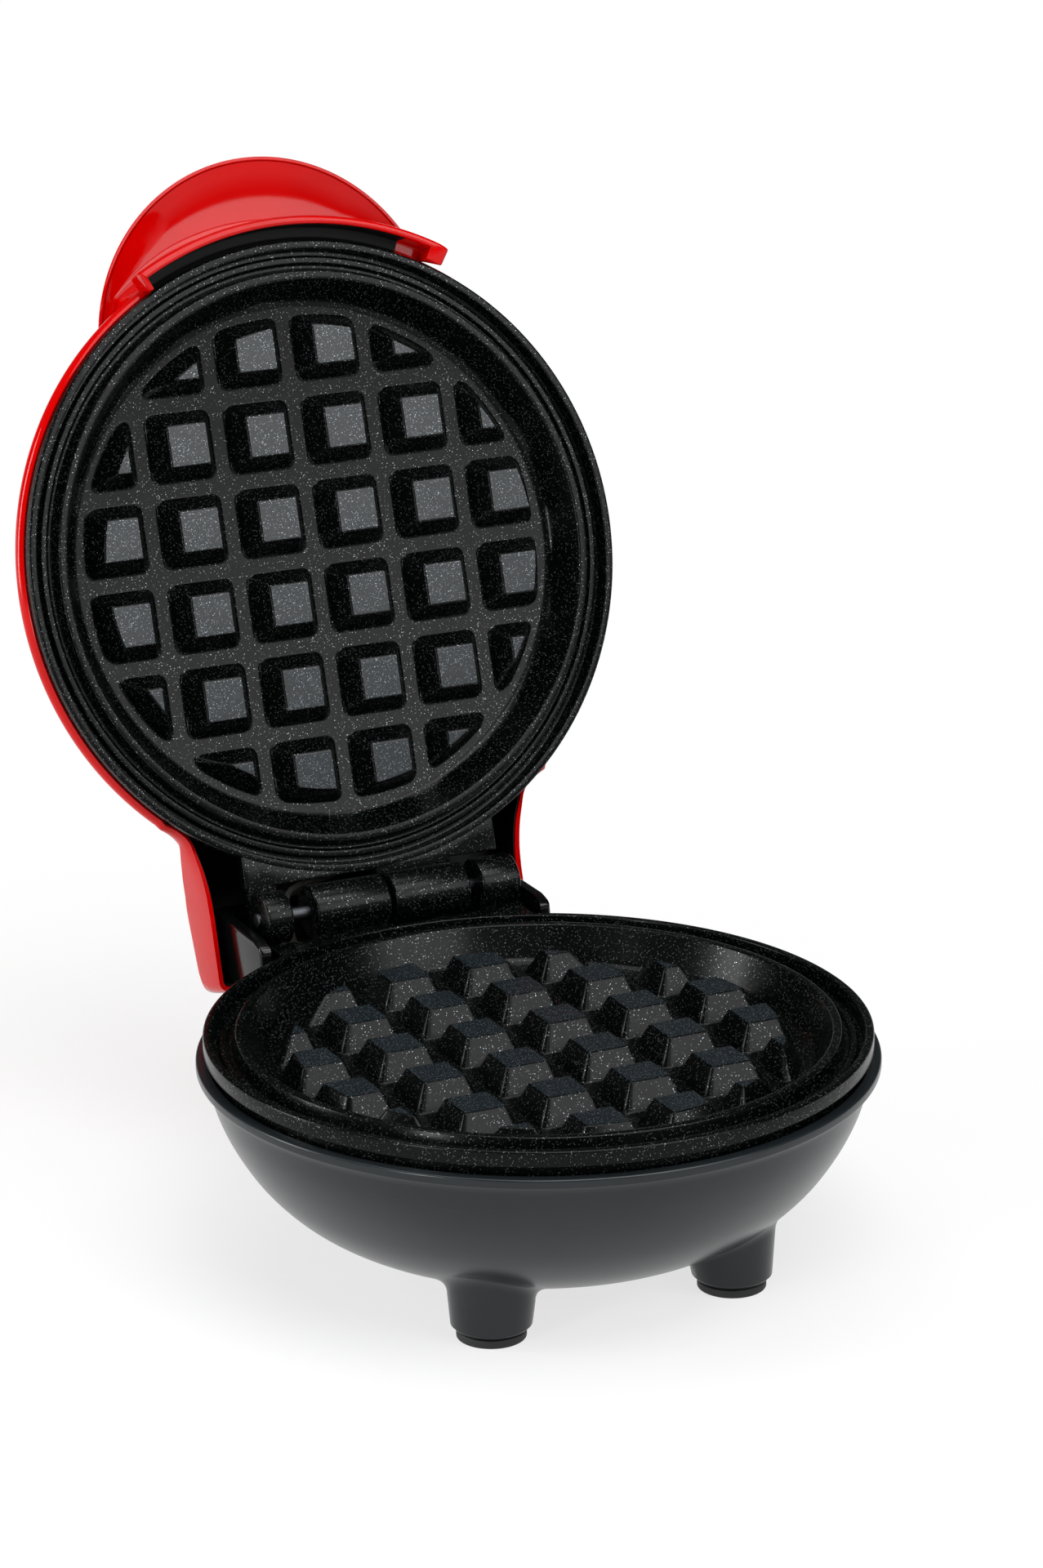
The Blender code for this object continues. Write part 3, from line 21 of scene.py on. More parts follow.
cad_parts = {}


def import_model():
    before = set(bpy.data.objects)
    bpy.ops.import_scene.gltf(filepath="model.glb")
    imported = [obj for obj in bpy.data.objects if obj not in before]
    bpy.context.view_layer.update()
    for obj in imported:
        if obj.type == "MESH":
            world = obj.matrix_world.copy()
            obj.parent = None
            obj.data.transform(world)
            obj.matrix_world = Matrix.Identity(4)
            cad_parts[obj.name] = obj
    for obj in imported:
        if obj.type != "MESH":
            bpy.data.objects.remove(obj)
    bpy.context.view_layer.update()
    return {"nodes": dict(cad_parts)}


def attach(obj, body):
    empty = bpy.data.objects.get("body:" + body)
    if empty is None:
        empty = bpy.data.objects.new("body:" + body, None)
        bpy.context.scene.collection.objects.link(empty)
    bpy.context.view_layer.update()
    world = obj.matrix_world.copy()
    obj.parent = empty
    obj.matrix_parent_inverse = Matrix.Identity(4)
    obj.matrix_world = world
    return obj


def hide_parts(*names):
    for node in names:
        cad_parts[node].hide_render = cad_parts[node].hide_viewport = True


Pair = tuple[float, float]
Place = tuple[float, float, float]
Outline = tuple[Pair, ...]
Form = bmesh.types.BMesh
Values = dict[str | int, object]
Links = dict[str | int, bpy.types.NodeSocket]

LOG = logging.getLogger("waffle_maker")
MM = 0.001
MERGE_MM = 0.002  # points closer than this are one
TINY = 1e-9  # keeps a division from failing where a profile runs straight
SECOND_FINISH = 1  # place of a piece's second material in its list
PEG_PITCH = 16.5
WHITE = (1.0, 1.0, 1.0, 1.0)
# Numbers of the Mix node's sockets for colours, which share their names with those for numbers
MIX_FACTOR, MIX_FIRST, MIX_SECOND, MIX_RESULT = 0, 6, 7, 2


class Body(Enum):
    """The two rigid bodies that pieces ride on."""

    BASE = "base"
    LID = "lid"


class Axis(Enum):
    """Directions that an outline is carried or turned along."""

    X = "x"
    Y = "y"
    Z = "z"


class Carving(Enum):
    """What a tool does to a block, by the modifier's own words."""

    JOIN = "UNION"
    CUT = "DIFFERENCE"


@dataclass(frozen=True)
class Placing:
    """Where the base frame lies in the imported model, and how far the lid stands open."""

    centre_y: float = -33.3
    floor_up: float = 38.06
    hinge_back: float = 67.5
    hinge_up: float = 9.95
    open_degrees: float = 107.47

    def place(self, points: np.ndarray, body: Body) -> np.ndarray:
        """Move points from their body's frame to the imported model.

        A lid point turns about the hinge line by the opening angle: its distances behind and above
        the line are mixed by the angle's cosine and sine.

        Args:
            points: Rows of x, y and z in millimetres.
            body: The body whose frame the points are in.

        Returns:
            Rows of x, y and z in metres.
        """
        placed = np.array(points, dtype=float)
        if body is Body.LID:
            turn = math.radians(self.open_degrees)
            back = placed[:, 1] - self.hinge_back
            up = placed[:, 2] - self.hinge_up
            placed[:, 1] = self.hinge_back + back * math.cos(turn) + up * math.sin(turn)
            placed[:, 2] = self.hinge_up - back * math.sin(turn) + up * math.cos(turn)
        placed += (0.0, self.centre_y, self.floor_up)
        return placed * MM


PLACING = Placing()


def linear(code: str) -> tuple[float, float, float, float]:
    """Turn an sRGB hex value to linear colour.

    Args:
        code: Six hex digits.

    Returns:
        Linear red, green and blue, and an alpha of one.
    """
    shares = [int(code[start:start + 2], 16) / 255 for start in (0, 2, 4)]
    toe, toe_slope, offset, gamma = 0.04045, 12.92, 0.055, 2.4
    red, green, blue = (share / toe_slope if share <= toe else ((share + offset) / (1 + offset)) ** gamma
                        for share in shares)
    return red, green, blue, 1.0


def smooth_step(value: np.ndarray) -> np.ndarray:
    """Ease from 0 to 1: three times the square less twice the cube, of values held to that range."""
    held = np.clip(value, 0.0, 1.0)
    return held * held * (3.0 - 2.0 * held)


def smooth_max(first: np.ndarray, second: np.ndarray, reach: float) -> np.ndarray:
    """The larger of two heights, with the corner between them rounded.

    Where they differ by less than the reach, the square of what is missing from the reach, over
    four times the reach, is added.

    Args:
        first: Heights.
        second: Heights to set against them.
        reach: Largest difference that is rounded, in millimetres.

    Returns:
        The rounded maximum.
    """
    missing = np.maximum(reach - np.abs(first - second), 0.0)
    return np.maximum(first, second) + missing ** 2 / (4.0 * reach)


def fair_curve(points: Sequence[Sequence[float]], steps: int) -> np.ndarray:
    """A Catmull-Rom curve through points, whose tangent at each is half the way between its neighbours.

    Args:
        points: Rows of coordinates.
        steps: Samples between two points.

    Returns:
        Rows of coordinates along the curve.
    """
    knots = np.asarray(points, dtype=float)
    ends = np.vstack([2 * knots[0] - knots[1], knots, 2 * knots[-1] - knots[-2]])
    first, start, stop, last = (ends[shift:shift + len(knots) - 1, None, :] for shift in range(4))
    t = np.linspace(0.0, 1.0, steps, endpoint=False)[None, :, None]
    curve = 0.5 * (2 * start + (stop - first) * t + (2 * first - 5 * start + 4 * stop - last) * t ** 2
                   + (3 * start - first - 3 * stop + last) * t ** 3)
    return np.vstack([curve.reshape(-1, knots.shape[1]), knots[-1]])


def eased_profile(points: Sequence[Sequence[float]], radii: Sequence[float] | float,
                  steps: int = 4) -> np.ndarray:
    """Round the inner corners of an open outline with arcs.

    Each corner gives way to an arc that touches both of its sides at the radius times the tangent of
    half the turn, or at 45 % of the shorter side where that is less. Points between the arc's ends
    come from the two ends by the sines of the angles to each, over the sine of the whole turn.

    Args:
        points: Corners of the outline in its plane.
        radii: One radius for all corners, or one for each inner corner.
        steps: Spans in each arc.

    Returns:
        The rounded outline.
    """
    corners = np.asarray(points, dtype=float)
    inner = len(corners) - 2
    sizes = np.full(inner, radii) if np.isscalar(radii) else np.asarray(radii, dtype=float)
    back = corners[:-2] - corners[1:-1]
    ahead = corners[2:] - corners[1:-1]
    back_length = np.linalg.norm(back, axis=1)
    ahead_length = np.linalg.norm(ahead, axis=1)
    back /= back_length[:, None]
    ahead /= ahead_length[:, None]
    half_turn = (np.pi - np.arccos(np.clip((back * ahead).sum(axis=1), -1.0, 1.0))) / 2
    trim = np.minimum(sizes * np.tan(half_turn), 0.45 * np.minimum(back_length, ahead_length))
    radius = trim / np.maximum(np.tan(half_turn), TINY)
    middle = back + ahead
    middle /= np.maximum(np.linalg.norm(middle, axis=1), TINY)[:, None]
    centre = corners[1:-1] + middle * (radius / np.maximum(np.cos(half_turn), TINY))[:, None]
    start = corners[1:-1] + back * trim[:, None] - centre
    stop = corners[1:-1] + ahead * trim[:, None] - centre
    share = np.linspace(0.0, 1.0, steps + 1)[None, :, None]
    turn = (2 * half_turn)[:, None, None]
    weights = np.maximum(np.sin(turn), TINY)
    from_start = np.sin((1 - share) * turn) * start[:, None, :]
    from_stop = np.sin(share * turn) * stop[:, None, :]
    rounded = (centre[:, None, :] + (from_start + from_stop) / weights).reshape(-1, 2)
    return np.vstack([corners[:1], rounded, corners[-1:]])


def turned(profile: np.ndarray, steps: int, centre: Pair = (0.0, 0.0)) -> np.ndarray:
    """Turn a profile about an upright axis.

    A point at a radius and a height goes round as the radius times the cosine and the sine of each
    angle, at that height.

    Args:
        profile: Rows of radius and height.
        steps: Points in each circle.
        centre: Place of the axis, x and y.

    Returns:
        A grid of points, one row for each profile point and one column for each angle.
    """
    angles = np.linspace(0.0, 2 * np.pi, steps, endpoint=False)
    radius = profile[:, :1]
    return np.stack([centre[0] + radius * np.cos(angles), centre[1] + radius * np.sin(angles),
                     np.broadcast_to(profile[:, 1:2], (len(profile), steps))], axis=2)


def turned_along(profile: np.ndarray, steps: int, centre: Pair, axis: Axis) -> np.ndarray:
    """Turn a profile about a level line: each radius is mixed by the cosine and sine of each angle.

    Args:
        profile: Rows of distance along the line and radius.
        steps: Points in each circle.
        centre: Where the line lies, y and z for one along x, or x and z for one along y.
        axis: Direction of the line, x or y.

    Returns:
        A grid of points, one row for each profile point and one column for each angle.
    """
    angles = np.linspace(0.0, 2 * np.pi, steps, endpoint=False)
    along = np.broadcast_to(profile[:, :1], (len(profile), steps))
    near = profile[:, 1:2] * np.cos(angles)
    side = profile[:, 1:2] * np.sin(angles)
    if axis is Axis.X:
        return np.stack([along, centre[0] + near, centre[1] + side], axis=2)
    return np.stack([centre[0] + side, along, centre[1] + near], axis=2)


@dataclass
class Skin:
    """Points and faces gathered for one piece, in the millimetres of its body's frame."""

    points: list[np.ndarray] = field(default_factory=list)
    faces: list[list[int]] = field(default_factory=list)
    slots: list[int] = field(default_factory=list)
    count: int = 0

    def grid(self, surface: np.ndarray, closed: bool = True, slot: int = 0) -> None:
        """Add a grid of points as quads.

        Args:
            surface: Rows and columns of x, y and z.
            closed: Whether the last column meets the first.
            slot: Index of the material of its faces.
        """
        rows, columns = surface.shape[:2]
        index = self.count + np.arange(rows * columns).reshape(rows, columns)
        right = np.roll(index, -1, axis=1) if closed else index[:, 1:]
        left = index if closed else index[:, :-1]
        quads = np.stack([left[:-1], right[:-1], right[1:], left[1:]], axis=2).reshape(-1, 4)
        self.points.append(surface.reshape(-1, 3))
        self.faces.extend(quads.tolist())
        self.slots.extend([slot] * len(quads))
        self.count += rows * columns

    def shape(self, builder: Form, slot: int = 0) -> None:
        """Add what a bmesh holds, and free it.

        Args:
            builder: The form, in millimetres.
            slot: Index of the material of its faces that have the form's first one.
        """
        builder.verts.ensure_lookup_table()
        builder.verts.index_update()
        self.points.append(np.array([vert.co for vert in builder.verts]))
        self.faces.extend([self.count + vert.index for vert in face.verts] for face in builder.faces)
        self.slots.extend(slot + face.material_index for face in builder.faces)
        self.count += len(builder.verts)
        builder.free()

    def piece(self, name: str, node: str, body: Body, materials: Sequence[bpy.types.Material],
              record_slot: str, sharp_degrees: float = 50.0) -> None:
        """Make the piece: place its points, merge doubles, face it outwards and dress it.

        Args:
            name: Name of the new object.
            node: The solid that it stands for.
            body: Body that it rides on.
            materials: Its materials, in the order of the slots.
            record_slot: The record's slot that it stands for; not used.
            sharp_degrees: Edges that turn by more than this stay sharp.
        """
        mesh = bpy.data.meshes.new(name)
        mesh.from_pydata(PLACING.place(np.vstack(self.points), body), [], self.faces)
        mesh.polygons.foreach_set("material_index", self.slots)
        builder = bmesh.new()
        builder.from_mesh(mesh)
        bmesh.ops.remove_doubles(builder, verts=builder.verts, dist=MERGE_MM * MM)
        bmesh.ops.recalc_face_normals(builder, faces=builder.faces)
        builder.to_mesh(mesh)
        builder.free()
        for material in materials:
            mesh.materials.append(material)
        mesh.shade_smooth()
        mesh.set_sharp_from_angle(angle=math.radians(sharp_degrees))
        made = bpy.data.objects.new(name, mesh)
        bpy.context.scene.collection.objects.link(made)
        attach(made, body.value)
        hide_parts(node)
        LOG.info("%s: %d faces on %s", name, len(mesh.polygons), body.value)


def slab(outline: Sequence[Pair], low: float, high: float, along: Axis,
         edge: float, steps: int = 3, corner_degrees: float = 25.0) -> Form:
    """Carry an outline along an axis and bevel its edges.

    Args:
        outline: Corners, as (x, y) for a slab along z or (y, z) for one along x.
        low: Where the slab starts on its axis.
        high: Where it ends.
        along: The axis, x or z.
        edge: Width of the rounded edges.
        steps: Spans in each rounded edge.
        corner_degrees: Edges that turn by less than this are left alone.

    Returns:
        The slab as a bmesh, in millimetres.
    """
    builder = bmesh.new()
    level = along is Axis.X
    places = [(low, first, second) if level else (first, second, low) for first, second in outline]
    travel = (high - low, 0.0, 0.0) if level else (0.0, 0.0, high - low)
    face = builder.faces.new([builder.verts.new(place) for place in places])
    grown = bmesh.ops.extrude_face_region(builder, geom=[face])
    moved = [item for item in grown["geom"] if isinstance(item, bmesh.types.BMVert)]
    bmesh.ops.translate(builder, verts=moved, vec=travel)
    bmesh.ops.recalc_face_normals(builder, faces=builder.faces)
    limit = math.radians(corner_degrees)
    edges = [item for item in builder.edges if len(item.link_faces) == 2 and item.calc_face_angle() > limit]
    bmesh.ops.bevel(builder, geom=edges, offset=edge, segments=steps, profile=0.5, affect="EDGES",
                    clamp_overlap=True)
    return builder


def closed_loop(corners: Sequence[Pair], radius: float, steps: int = 4) -> np.ndarray:
    """Round the corners of a closed outline and end it where it starts.

    Args:
        corners: Corners of the outline.
        radius: Radius of the rounding.
        steps: Spans in each arc.

    Returns:
        The rounded outline, its last point on its first.
    """
    start = (np.asarray(corners[0]) + np.asarray(corners[-1])) / 2
    return eased_profile([start, *corners, start], radius, steps)


def carved(block: Form, tools: Sequence[Form], carving: Carving) -> Form:
    """Join tools to a block, or cut them from it, one after another.

    Args:
        block: Closed form in millimetres. It is used up.
        tools: Closed forms in millimetres. They are used up.
        carving: Whether they are joined or cut.

    Returns:
        The new form.
    """
    def held(form: Form) -> bpy.types.Object:
        """Turn a form into an object that a modifier can use.

        Args:
            form: The form. It is freed.

        Returns:
            The object, in the scene.
        """
        bmesh.ops.recalc_face_normals(form, faces=form.faces)
        mesh = bpy.data.meshes.new("carving")
        form.to_mesh(mesh)
        form.free()
        made = bpy.data.objects.new("carving", mesh)
        bpy.context.scene.collection.objects.link(made)
        return made

    target = held(block)
    cutters = [held(tool) for tool in tools]
    for cutter in cutters:
        step = target.modifiers.new("carve", "BOOLEAN")
        step.object = cutter
        step.operation = carving.value
        step.solver = "EXACT"
    evaluated = target.evaluated_get(bpy.context.evaluated_depsgraph_get())
    result = bmesh.new()
    result.from_mesh(evaluated.to_mesh())
    for used in (target, *cutters):
        bpy.data.objects.remove(used, do_unlink=True)
    return result


def formed(*surfaces: np.ndarray) -> Form:
    """Join grids that close on themselves into one form.

    Args:
        *surfaces: Grids of points, in millimetres.

    Returns:
        The form, its doubles merged.
    """
    gathered = Skin()
    for surface in surfaces:
        gathered.grid(surface)
    mesh = bpy.data.meshes.new("form")
    mesh.from_pydata(np.vstack(gathered.points), [], gathered.faces)
    builder = bmesh.new()
    builder.from_mesh(mesh)
    bpy.data.meshes.remove(mesh)
    bmesh.ops.remove_doubles(builder, verts=builder.verts, dist=MERGE_MM)
    return builder


def wire(tree: bpy.types.NodeTree, node: bpy.types.Node, values: Values, links: Links) -> None:
    """Set a node's inputs and link other nodes' outputs to them.

    Args:
        tree: The tree that holds the node.
        node: The node.
        values: Values of inputs, by name or number.
        links: Outputs that feed its inputs, by the inputs' names or numbers.
    """
    for name, value in values.items():
        node.inputs[name].default_value = value
    for name, source in links.items():
        tree.links.new(source, node.inputs[name])


def add_node(tree: bpy.types.NodeTree, kind: str, values: Values | None = None,
             links: Links | None = None, **settings: object) -> bpy.types.Node:
    """Add a node with its settings, its inputs' values and the links into it.

    Args:
        tree: Node tree of a material or the world.
        kind: Type name of the node.
        values: Values of inputs, by name or number.
        links: Outputs that feed its inputs, by the inputs' names or numbers.
        **settings: Properties of the node.

    Returns:
        The node.
    """
    made = tree.nodes.new(kind)
    for name, value in settings.items():
        setattr(made, name, value)
    wire(tree, made, values or {}, links or {})
    return made


def per_mm(size: float) -> float:
    """Scale of a pattern whose cells are this many millimetres, on coordinates in metres."""
    return 1.0 / (size * MM)


def blank_material(name: str) -> tuple[bpy.types.Material, bpy.types.NodeTree, bpy.types.Node,
                                       bpy.types.NodeSocket]:
    """Start a material.

    Args:
        name: Its name.

    Returns:
        The material, its tree, its shader and the object's own coordinates.
    """
    made = bpy.data.materials.new(name)
    made.use_nodes = True
    tree = made.node_tree
    place = add_node(tree, "ShaderNodeTexCoord")
    return made, tree, tree.nodes["Principled BSDF"], place.outputs["Object"]


@dataclass(frozen=True)
class MouldedPlastic:
    """A moulded plastic skin: its gloss comes from the mould's polish, its haze from the mould's grain.

    The skin sinks a little as it cools, so long waves lie under the grain and bend reflections.
    Real grain is nearer 0.1 mm. It is drawn coarser, because finer grain doesn't show in the render.
    """

    name: str
    colour: str
    shade: str
    roughness: float
    ior: float
    grain_mm: float
    grain_depth_mm: float
    wave_mm: float
    wave_depth_mm: float = 0.02
    drift: float = 0.05
    coat: float = 0.0
    tint_reach: Pair = (0.3, 0.6)
    wave_detail: float = 3.0
    grain_detail: float = 2.0

    def build(self) -> bpy.types.Material:
        """Make it: fine grain over slow waves bend the light, and tint and roughness drift with the waves.

        Returns:
            The material.
        """
        made, tree, shader, place = blank_material(self.name)
        cloud = add_node(tree, "ShaderNodeTexNoise",
                         {"Scale": per_mm(self.wave_mm), "Detail": self.wave_detail}, {"Vector": place})
        grain = add_node(tree, "ShaderNodeTexNoise",
                         {"Scale": per_mm(self.grain_mm), "Detail": self.grain_detail}, {"Vector": place})
        tint = add_node(tree, "ShaderNodeValToRGB", links={"Fac": cloud.outputs["Fac"]})
        stops = zip(tint.color_ramp.elements, (self.shade, self.colour), self.tint_reach)
        for stop, code, position in stops:
            stop.color = linear(code)
            stop.position = position
        rough = add_node(tree, "ShaderNodeMapRange",
                         {"To Min": self.roughness - self.drift, "To Max": self.roughness + self.drift},
                         {"Value": cloud.outputs["Fac"]})
        slow = add_node(tree, "ShaderNodeBump", {"Strength": 1.0, "Distance": self.wave_depth_mm * MM},
                        {"Height": cloud.outputs["Fac"]})
        fine = add_node(tree, "ShaderNodeBump", {"Strength": 1.0, "Distance": self.grain_depth_mm * MM},
                        {"Height": grain.outputs["Fac"], "Normal": slow.outputs["Normal"]})
        wire(tree, shader, {"IOR": self.ior, "Coat Weight": self.coat},
             {"Base Color": tint.outputs["Color"], "Roughness": rough.outputs["Result"],
              "Normal": fine.outputs["Normal"]})
        return made


@dataclass(frozen=True)
class FlakedCoating:
    """Sprayed non-stick coating on cast aluminium: a near-black satin film with mica flakes.

    Each flake is a cell of a random pattern. The cell's own random number says how bright it is,
    and only the highest numbers show, near the cell's middle. Flakes are metal: they glint where
    they face a light and are as dark as the film elsewhere. Real flakes are under 0.1 mm. They are
    drawn coarser, because finer ones don't show in the render.
    """

    name: str
    binder: str
    flake: str
    roughness: float
    ior: float
    scarce: float
    flake_mm: float = 0.17
    flake_reach: Pair = (0.62, 0.3)
    flake_tilt: float = 0.5
    flake_relief_mm: float = 0.008
    peel_mm: float = 5.0
    peel_depth_mm: float = 0.02
    peel_detail: float = 2.0
    drift: float = 0.05

    def build(self) -> bpy.types.Material:
        """Make it: bright specks over a dark film with the soft unevenness of a sprayed coat.

        Returns:
            The material.
        """
        made, tree, shader, place = blank_material(self.name)
        cells = add_node(tree, "ShaderNodeTexVoronoi", {"Scale": per_mm(self.flake_mm), "Randomness": 1.0},
                         {"Vector": place})
        chance = add_node(tree, "ShaderNodeSeparateColor", links={"Color": cells.outputs["Color"]})
        bright = add_node(tree, "ShaderNodeMapRange", {"From Min": self.scarce, "From Max": 1.0},
                          {"Value": chance.outputs["Red"]})
        rim, heart = self.flake_reach
        near = add_node(tree, "ShaderNodeMapRange", {"From Min": rim, "From Max": heart},
                        {"Value": cells.outputs["Distance"]})
        speck = add_node(tree, "ShaderNodeMath",
                         links={0: bright.outputs["Result"], 1: near.outputs["Result"]},
                         operation="MULTIPLY")
        cloud = add_node(tree, "ShaderNodeTexNoise",
                         {"Scale": per_mm(self.peel_mm), "Detail": self.peel_detail}, {"Vector": place})
        tint = add_node(tree, "ShaderNodeMix",
                        {MIX_FIRST: linear(self.binder), MIX_SECOND: linear(self.flake)},
                        {MIX_FACTOR: speck.outputs["Value"]}, data_type="RGBA")
        rough = add_node(tree, "ShaderNodeMapRange",
                         {"To Min": self.roughness - self.drift, "To Max": self.roughness + self.drift},
                         {"Value": cloud.outputs["Fac"]})
        slow = add_node(tree, "ShaderNodeBump", {"Strength": 1.0, "Distance": self.peel_depth_mm * MM},
                        {"Height": cloud.outputs["Fac"]})
        fine = add_node(tree, "ShaderNodeBump",
                        {"Strength": self.flake_tilt, "Distance": self.flake_relief_mm * MM},
                        {"Height": chance.outputs["Green"], "Normal": slow.outputs["Normal"]})
        wire(tree, shader, {"IOR": self.ior},
             {"Base Color": tint.outputs[MIX_RESULT], "Metallic": speck.outputs["Value"],
              "Roughness": rough.outputs["Result"], "Normal": fine.outputs["Normal"]})
        return made


@dataclass(frozen=True)
class DrawnMetal:
    """Drawn, rolled or pressed metal: fine streaks along its length, brighter and duller by turns.

    Real streaks are under 0.1 mm wide. They are drawn coarser, because finer ones don't show in the
    render.
    """

    name: str
    colour: str
    shade: str
    roughness: float
    streak_mm: float
    stretch: Place
    streak_detail: float = 4.0
    drift: float = 0.08
    scratch_strength: float = 0.6
    scratch_depth_mm: float = 0.01

    def build(self) -> bpy.types.Material:
        """Make it: streaks are noise squeezed across the direction that the metal was drawn in.

        Returns:
            The material.
        """
        made, tree, shader, place = blank_material(self.name)
        squeezed = add_node(tree, "ShaderNodeMapping", {"Scale": self.stretch}, {"Vector": place})
        streak = add_node(tree, "ShaderNodeTexNoise",
                          {"Scale": per_mm(self.streak_mm), "Detail": self.streak_detail},
                          {"Vector": squeezed.outputs["Vector"]})
        tint = add_node(tree, "ShaderNodeValToRGB", links={"Fac": streak.outputs["Fac"]})
        for stop, code in zip(tint.color_ramp.elements, (self.shade, self.colour)):
            stop.color = linear(code)
        rough = add_node(tree, "ShaderNodeMapRange",
                         {"To Min": self.roughness - self.drift, "To Max": self.roughness + self.drift},
                         {"Value": streak.outputs["Fac"]})
        fine = add_node(tree, "ShaderNodeBump",
                        {"Strength": self.scratch_strength, "Distance": self.scratch_depth_mm * MM},
                        {"Height": streak.outputs["Fac"]})
        wire(tree, shader, {"Metallic": 1.0},
             {"Base Color": tint.outputs["Color"], "Roughness": rough.outputs["Result"],
              "Normal": fine.outputs["Normal"]})
        return made


class Finishes:
    """Every finish of the maker, built once and shared by its pieces."""

    def __init__(self) -> None:
        """Build the finishes."""
        # Non-stick film on cast aluminium: satin black with silver points
        self.coating = FlakedCoating("nonstick_coating", "020403", "989fa2",
                                     roughness=0.22, ior=1.235, scarce=0.93).build()
        # The same film painted lighter and greyer on the pegs' flat tops: painted light, for the lamps that
        # they lie open to and the floors between them miss
        self.painted_lit_tops = FlakedCoating("nonstick_painted_lit_tops", "141b1f", "9ba3aa",
                                    roughness=0.25, ior=1.4, scarce=0.86).build()
        # ABS from a polished mould: deep red with clear reflections
        self.red = MouldedPlastic("red_gloss_abs", "c20202", "b60000", roughness=0.09, ior=1.32,
                                  grain_mm=0.6, grain_depth_mm=0.0004, wave_mm=26.0, wave_depth_mm=0.03,
                                  drift=0.01).build()
        # ABS from a finely blasted mould: dark grey with a broad soft sheen
        self.charcoal = MouldedPlastic("charcoal_satin_abs", "1b2023", "171c1e", roughness=0.26, ior=1.4,
                                       grain_mm=0.35, grain_depth_mm=0.0035, wave_mm=20.0,
                                       wave_depth_mm=0.01, drift=0.02).build()
        # The hinge housing's smoother black ABS
        self.black = MouldedPlastic("black_gloss_abs", "060707", "040505", roughness=0.14, ior=1.36,
                                    grain_mm=0.6, grain_depth_mm=0.001, wave_mm=18.0, drift=0.02).build()
        # Painted shade for the lid's unlit hollows: black with hardly a sheen
        self.hollow = MouldedPlastic("painted_shade_black", "040404", "020202", roughness=0.6, ior=1.3,
                                     grain_mm=0.6, grain_depth_mm=0.001, wave_mm=18.0, drift=0.02).build()
        # Pressed rubber: matt black
        self.rubber = MouldedPlastic("pad_rubber", "0b0c0c", "080909", roughness=0.62, ior=1.52,
                                     grain_mm=0.4, grain_depth_mm=0.006, wave_mm=8.0,
                                     wave_depth_mm=0.01).build()
        # Screws and terminals: bright drawn steel
        self.steel = DrawnMetal("drawn_steel", "b9bbbe", "94979b", 0.3, 0.5, (0.15, 1.0, 1.0)).build()
        # The hinge pin: steel in a dark grey
        self.dark_steel = DrawnMetal("dark_grey_steel", "4a4c4f", "35373a", 0.35, 0.5,
                                     (0.15, 1.0, 1.0)).build()
        # The elements' tubes: steel browned by heat
        self.sheath = DrawnMetal("heated_steel_sheath", "8d8479", "6d675f", 0.42, 0.8,
                                 (1.0, 1.0, 1.0)).build()
        # The reflectors: pale sheet with the roll's streaks
        self.sheet = DrawnMetal("rolled_aluminium", "d0d2d4", "b4b7ba", 0.36, 0.6, (1.0, 0.12, 1.0)).build()
        # Fired clay without a glaze: warm white, dull
        self.ceramic = MouldedPlastic("fired_ceramic", "ded7c6", "d2cab7", roughness=0.55, ior=1.55,
                                      grain_mm=0.5, grain_depth_mm=0.01, wave_mm=6.0).build()
        # Woven glass sleeves: pale, uneven and dull
        self.sleeve = MouldedPlastic("glass_fibre_sleeve", "d9d5ca", "bfb9ab", roughness=0.7, ior=1.5,
                                     grain_mm=0.45, grain_depth_mm=0.05, wave_mm=2.0).build()
        # The same sleeves painted darker at the hinge: painted shade
        self.painted_shade_sleeve = MouldedPlastic("sleeve_painted_shade", "3d3b36", "2b2a26", roughness=0.6, ior=1.5,
                                          grain_mm=0.45, grain_depth_mm=0.05, wave_mm=2.0).build()
        # Wire insulation: soft plastic with a low sheen
        self.brown = MouldedPlastic("brown_wire_pvc", "5d2f1f", "522819", roughness=0.4, ior=1.53,
                                    grain_mm=0.5, grain_depth_mm=0.004, wave_mm=5.0).build()
        self.blue = MouldedPlastic("blue_wire_pvc", "1f4f93", "1a4380", roughness=0.4, ior=1.53,
                                   grain_mm=0.5, grain_depth_mm=0.004, wave_mm=5.0).build()
        # The lens: polished acrylic in amber
        self.amber = MouldedPlastic("amber_lens_acrylic", "d8701c", "c8610f", roughness=0.08, ior=1.49,
                                    grain_mm=0.8, grain_depth_mm=0.0005, wave_mm=9.0, wave_depth_mm=0.01,
                                    drift=0.01, coat=0.2).build()


@dataclass(frozen=True)
class SoftLamp:
    """A rectangular lamp in metres and watts, which faces its aim."""

    name: str
    place: Place
    aim: Place
    size: Pair
    watts: float

    def build(self) -> None:
        """Make the lamp. Its z axis points away from the aim."""
        data = bpy.data.lights.new(self.name, "AREA")
        data.shape = "RECTANGLE"
        data.size, data.size_y = self.size
        data.energy = self.watts
        made = bpy.data.objects.new(self.name, data)
        bpy.context.scene.collection.objects.link(made)
        away = Vector(self.place) - Vector(self.aim)
        turning = away.to_track_quat("Z", "Y").to_matrix().to_4x4()
        made.matrix_world = Matrix.Translation(self.place) @ turning


